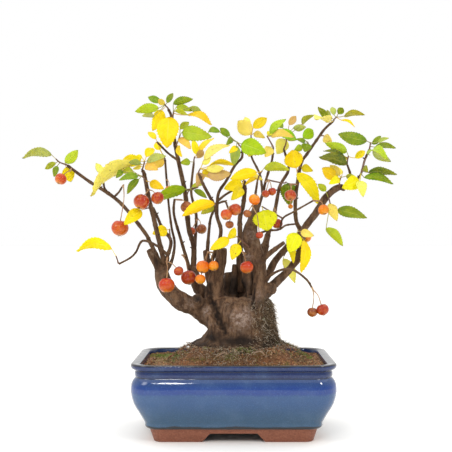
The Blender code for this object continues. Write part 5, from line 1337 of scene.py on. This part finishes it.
def build_sprays():
    """Shoots with their leaves, each bent so that its tip meets the tip of the solid's own leaf."""
    leaf_look = leaf_material()
    stalk_look = shade_material("leaf_stalk", 0.5)
    for name, (shoot, leaves) in SPRAYS.items():
        draw = random.Random(name)
        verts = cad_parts[name].data.vertices
        tree = kdtree.KDTree(len(verts))
        for index, vert in enumerate(verts):
            tree.insert(vert.co, index)
        tree.balance()
        spots = [on_plant(*point) for point in shoot]
        spots[0], away = seat(spots[0], spots[1])
        blades = Piece()
        stems = Piece()
        for number, leaf in enumerate(leaves):
            root = root_on_shoot(leaf[0], leaf[1], spots)
            places = [leaf_places(leaf, root, bend) for bend in BENDS]
            misses = [tree.find(in_frame(tip))[2] for _, tip in places]
            best = min(range(len(places)), key=misses.__getitem__)
            if misses[best] > LEAF_MISS * MM:
                continue
            stalk, tone = add_leaf(blades, root, *places[best], px_to_mm(leaf[4], root.y), leaf[6],
                                   1 if number % 2 else -1, LEAF_COLOURS[leaf[7]], draw)
            stems.add(tube_rows(stalk, 6), shade=tone)
        route = smooth_route([(spots[0] - away * 0.6, SHOOT_RADIUS), (spots[0] + away * 1.2, SHOOT_RADIUS)]
                             + [(spot, SHOOT_RADIUS * 0.8) for spot in spots[1:]], 4)
        stems.add(tube_rows(route, 8), shade=SHOOT_BARK)
        made = blades.build(name + "_blades", leaf_look)
        add_modifier(made, "thickness", "SOLIDIFY", thickness=LEAF_THICKNESS * MM, offset=0.0)
        finish_piece(made, "leaf", name)
        finish_piece(stems.build(name + "_stalks", stalk_look), "leaf", name)


def add_fruit(piece, centre, radius, hang, colours, draw):
    """A pome: dimpled at its stalk, a little flattened, with a dried calyx at its free end."""
    turn = hang.to_track_quat("Z", "Y").to_matrix()
    lean = draw.uniform(0.25, 0.75)
    seed = draw.uniform(0, 40)
    turns = [math.tau * c / FRUIT_SIDES for c in range(FRUIT_SIDES)]
    rows = []
    shades = []
    for r in range(FRUIT_RINGS + 1):
        polar = math.pi * r / FRUIT_RINGS
        z = -math.cos(polar)
        out = math.sin(polar)
        dimple = 0.30 * math.exp(-(out / 0.30) ** 2) if z < 0 else 0.14 * math.exp(-(out / 0.22) ** 2)
        height = (z + dimple if z < 0 else z - dimple) * 0.93
        row = []
        tones = []
        for angle in turns:
            x = out * math.cos(angle)
            y = out * math.sin(angle)
            unevenness = noise.noise(Vector((x, y, z + seed)))
            lobes = 1 + 0.018 * math.cos(5 * angle) * (0.4 + 0.6 * abs(z)) + 0.02 * unevenness
            row.append(centre + turn @ (Vector((x, y, height)) * lobes) * radius)
            share = (r / FRUIT_RINGS) ** 1.6 + 0.3 * math.cos(angle + seed) * lean
            tones.append(blend(*colours, clamp(share)))
        rows.append(row)
        shades.append(tones)
    marks = [[(r / FRUIT_RINGS, 0.0, 0.0)] * FRUIT_SIDES for r in range(FRUIT_RINGS + 1)]
    piece.add(rows, marks, shades)
    end = centre + hang * radius * 0.80
    for sepal in range(5):
        angle = math.tau * sepal / 5 + seed
        out = turn @ Vector((math.cos(angle), math.sin(angle), 0))
        start = end + out * radius * 0.07
        tip = end + out * radius * 0.27 + hang * radius * 0.20
        wide = hang.cross(out) * radius * 0.09
        thick = hang * 0.18
        rows = []
        for spot, broad, high in ((start, 1.0, 1.0), (start.lerp(tip, 0.6), 0.8, 1.0), (tip, 0.1, 0.2)):
            rows.append([spot - wide * broad, spot + thick * high, spot + wide * broad, spot - thick * high])
        piece.add(rows, CALYX_MARKS, CALYX)


def build_fruit():
    look = fruit_material()
    for name, (spur_end, fruits) in BUNCHES.items():
        draw = random.Random(name)
        end = on_plant(*spur_end)
        start, away = seat(end, end)
        if (end - start).length < SHORTEST_SPUR:
            end = start + away * SHORTEST_SPUR
        piece = Piece()
        spur = smooth_route([(start - away * 0.6, 1.3), (start + away * 1.2, 1.25), (end, 1.2)], 3)
        piece.add(tube_rows(spur, 8), DRY_MARKS, DRY_STALK)
        for x_px, y_px, width_px, depth, colour in fruits:
            centre = on_plant(x_px, y_px, depth)
            radius = 0.5 * px_to_mm(width_px, centre.y)
            hang = (centre - end).normalized()
            hang = (hang + Vector((0, 0, -0.6))).normalized() if centre.z < end.z else hang
            top = centre - hang * radius * 0.8
            bend = end.lerp(top, 0.5) + Vector((0.06, -0.04, 0.10)) * (top - end).length
            route = smooth_route([(end - (end - start).normalized() * 0.8, 0.85), (bend, 0.55),
                                  (top + hang * radius * 0.12, 0.7)], 7)
            piece.add(tube_rows(route, 8), DRY_MARKS, DRY_STALK)
            add_fruit(piece, centre, radius, hang, FRUIT_COLOURS[colour], draw)
        finish_piece(piece.build(name + "_crabapples", look), "fruit_skin", name)


def build_stage():
    """A pale floor under an open sky that is greyer in front, a soft roof light and three windows."""
    floor_mesh = bpy.data.meshes.new("floor")
    made = bmesh.new()
    bmesh.ops.create_grid(made, x_segments=1, y_segments=1, size=FLOOR_SIZE)
    made.to_mesh(floor_mesh)
    made.free()
    look, g, shader = new_material("pale_floor")
    g.fill(shader, {"Base Color": FLOOR_TONE, "Roughness": 0.6})
    floor_mesh.materials.append(look)
    floor = add_object("floor", floor_mesh)
    world = bpy.data.worlds.new("studio")
    bpy.context.scene.world = world
    world.use_nodes = True
    g = Graph(world.node_tree)
    way = g.split(g.node("ShaderNodeTexCoord").outputs["Generated"])
    behind = g.plus(way["Y"], g.times(way["Z"], 0.6))
    sky = g.between(behind, -0.35, 0.35, SKY_FRONT, SKY_BEHIND)
    g.fill(world.node_tree.nodes["Background"], {"Color": sky, "Strength": 1.0})
    sun = bpy.data.lights.new("overcast_roof", "SUN")
    sun.energy = ROOF_LIGHT
    sun.angle = ROOF_SPREAD
    add_object("overcast_roof", sun)
    for name, (place, size, power) in LIGHTS.items():
        data = bpy.data.lights.new(name, "AREA")
        data.shape = "RECTANGLE"
        data.size, data.size_y = size
        data.energy = power
        lamp = add_object(name, data)
        lamp.location = place
        aim = Vector(LIGHT_AIM) - Vector(place)
        lamp.rotation_euler = aim.to_track_quat("-Z", "Y").to_euler()
    bpy.context.scene.view_settings.view_transform = "Standard"
    bpy.context.scene.view_settings.exposure = 0.0


def build_camera():
    data = bpy.data.cameras.new("camera")
    data.sensor_width = SENSOR
    data.sensor_fit = "HORIZONTAL"
    data.lens = FOCAL_PX * SENSOR / FRAME_PX
    data.shift_x = (0.5 * FRAME_PX - EYE_X_PX) / FRAME_PX
    data.shift_y = (EYE_Y_PX - 0.5 * FRAME_PX) / FRAME_PX
    data.clip_end = 50.0
    camera = add_object("camera", data)
    camera.location = in_frame(Vector((0.0, -EYE_DISTANCE, EYE_HEIGHT)))
    camera.rotation_euler = (math.radians(90), 0.0, 0.0)
    bpy.context.scene.camera = camera


def main():
    build_camera()
    build_stage()
    build_pot()
    build_soil()
    bark = bark_material()
    old_wood = build_old_wood(bark)
    build_shoots(bark)
    build_grains()
    build_grass(BVHTree.FromObject(old_wood, bpy.context.evaluated_depsgraph_get()))
    build_fallen_twigs()
    build_moss()
    build_sprays()
    build_fruit()
    screen_look = plastic_material()
    for name in ("drain_screen_left", "drain_screen_right"):
        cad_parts[name].data.materials.clear()
        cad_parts[name].data.materials.append(screen_look)


main()
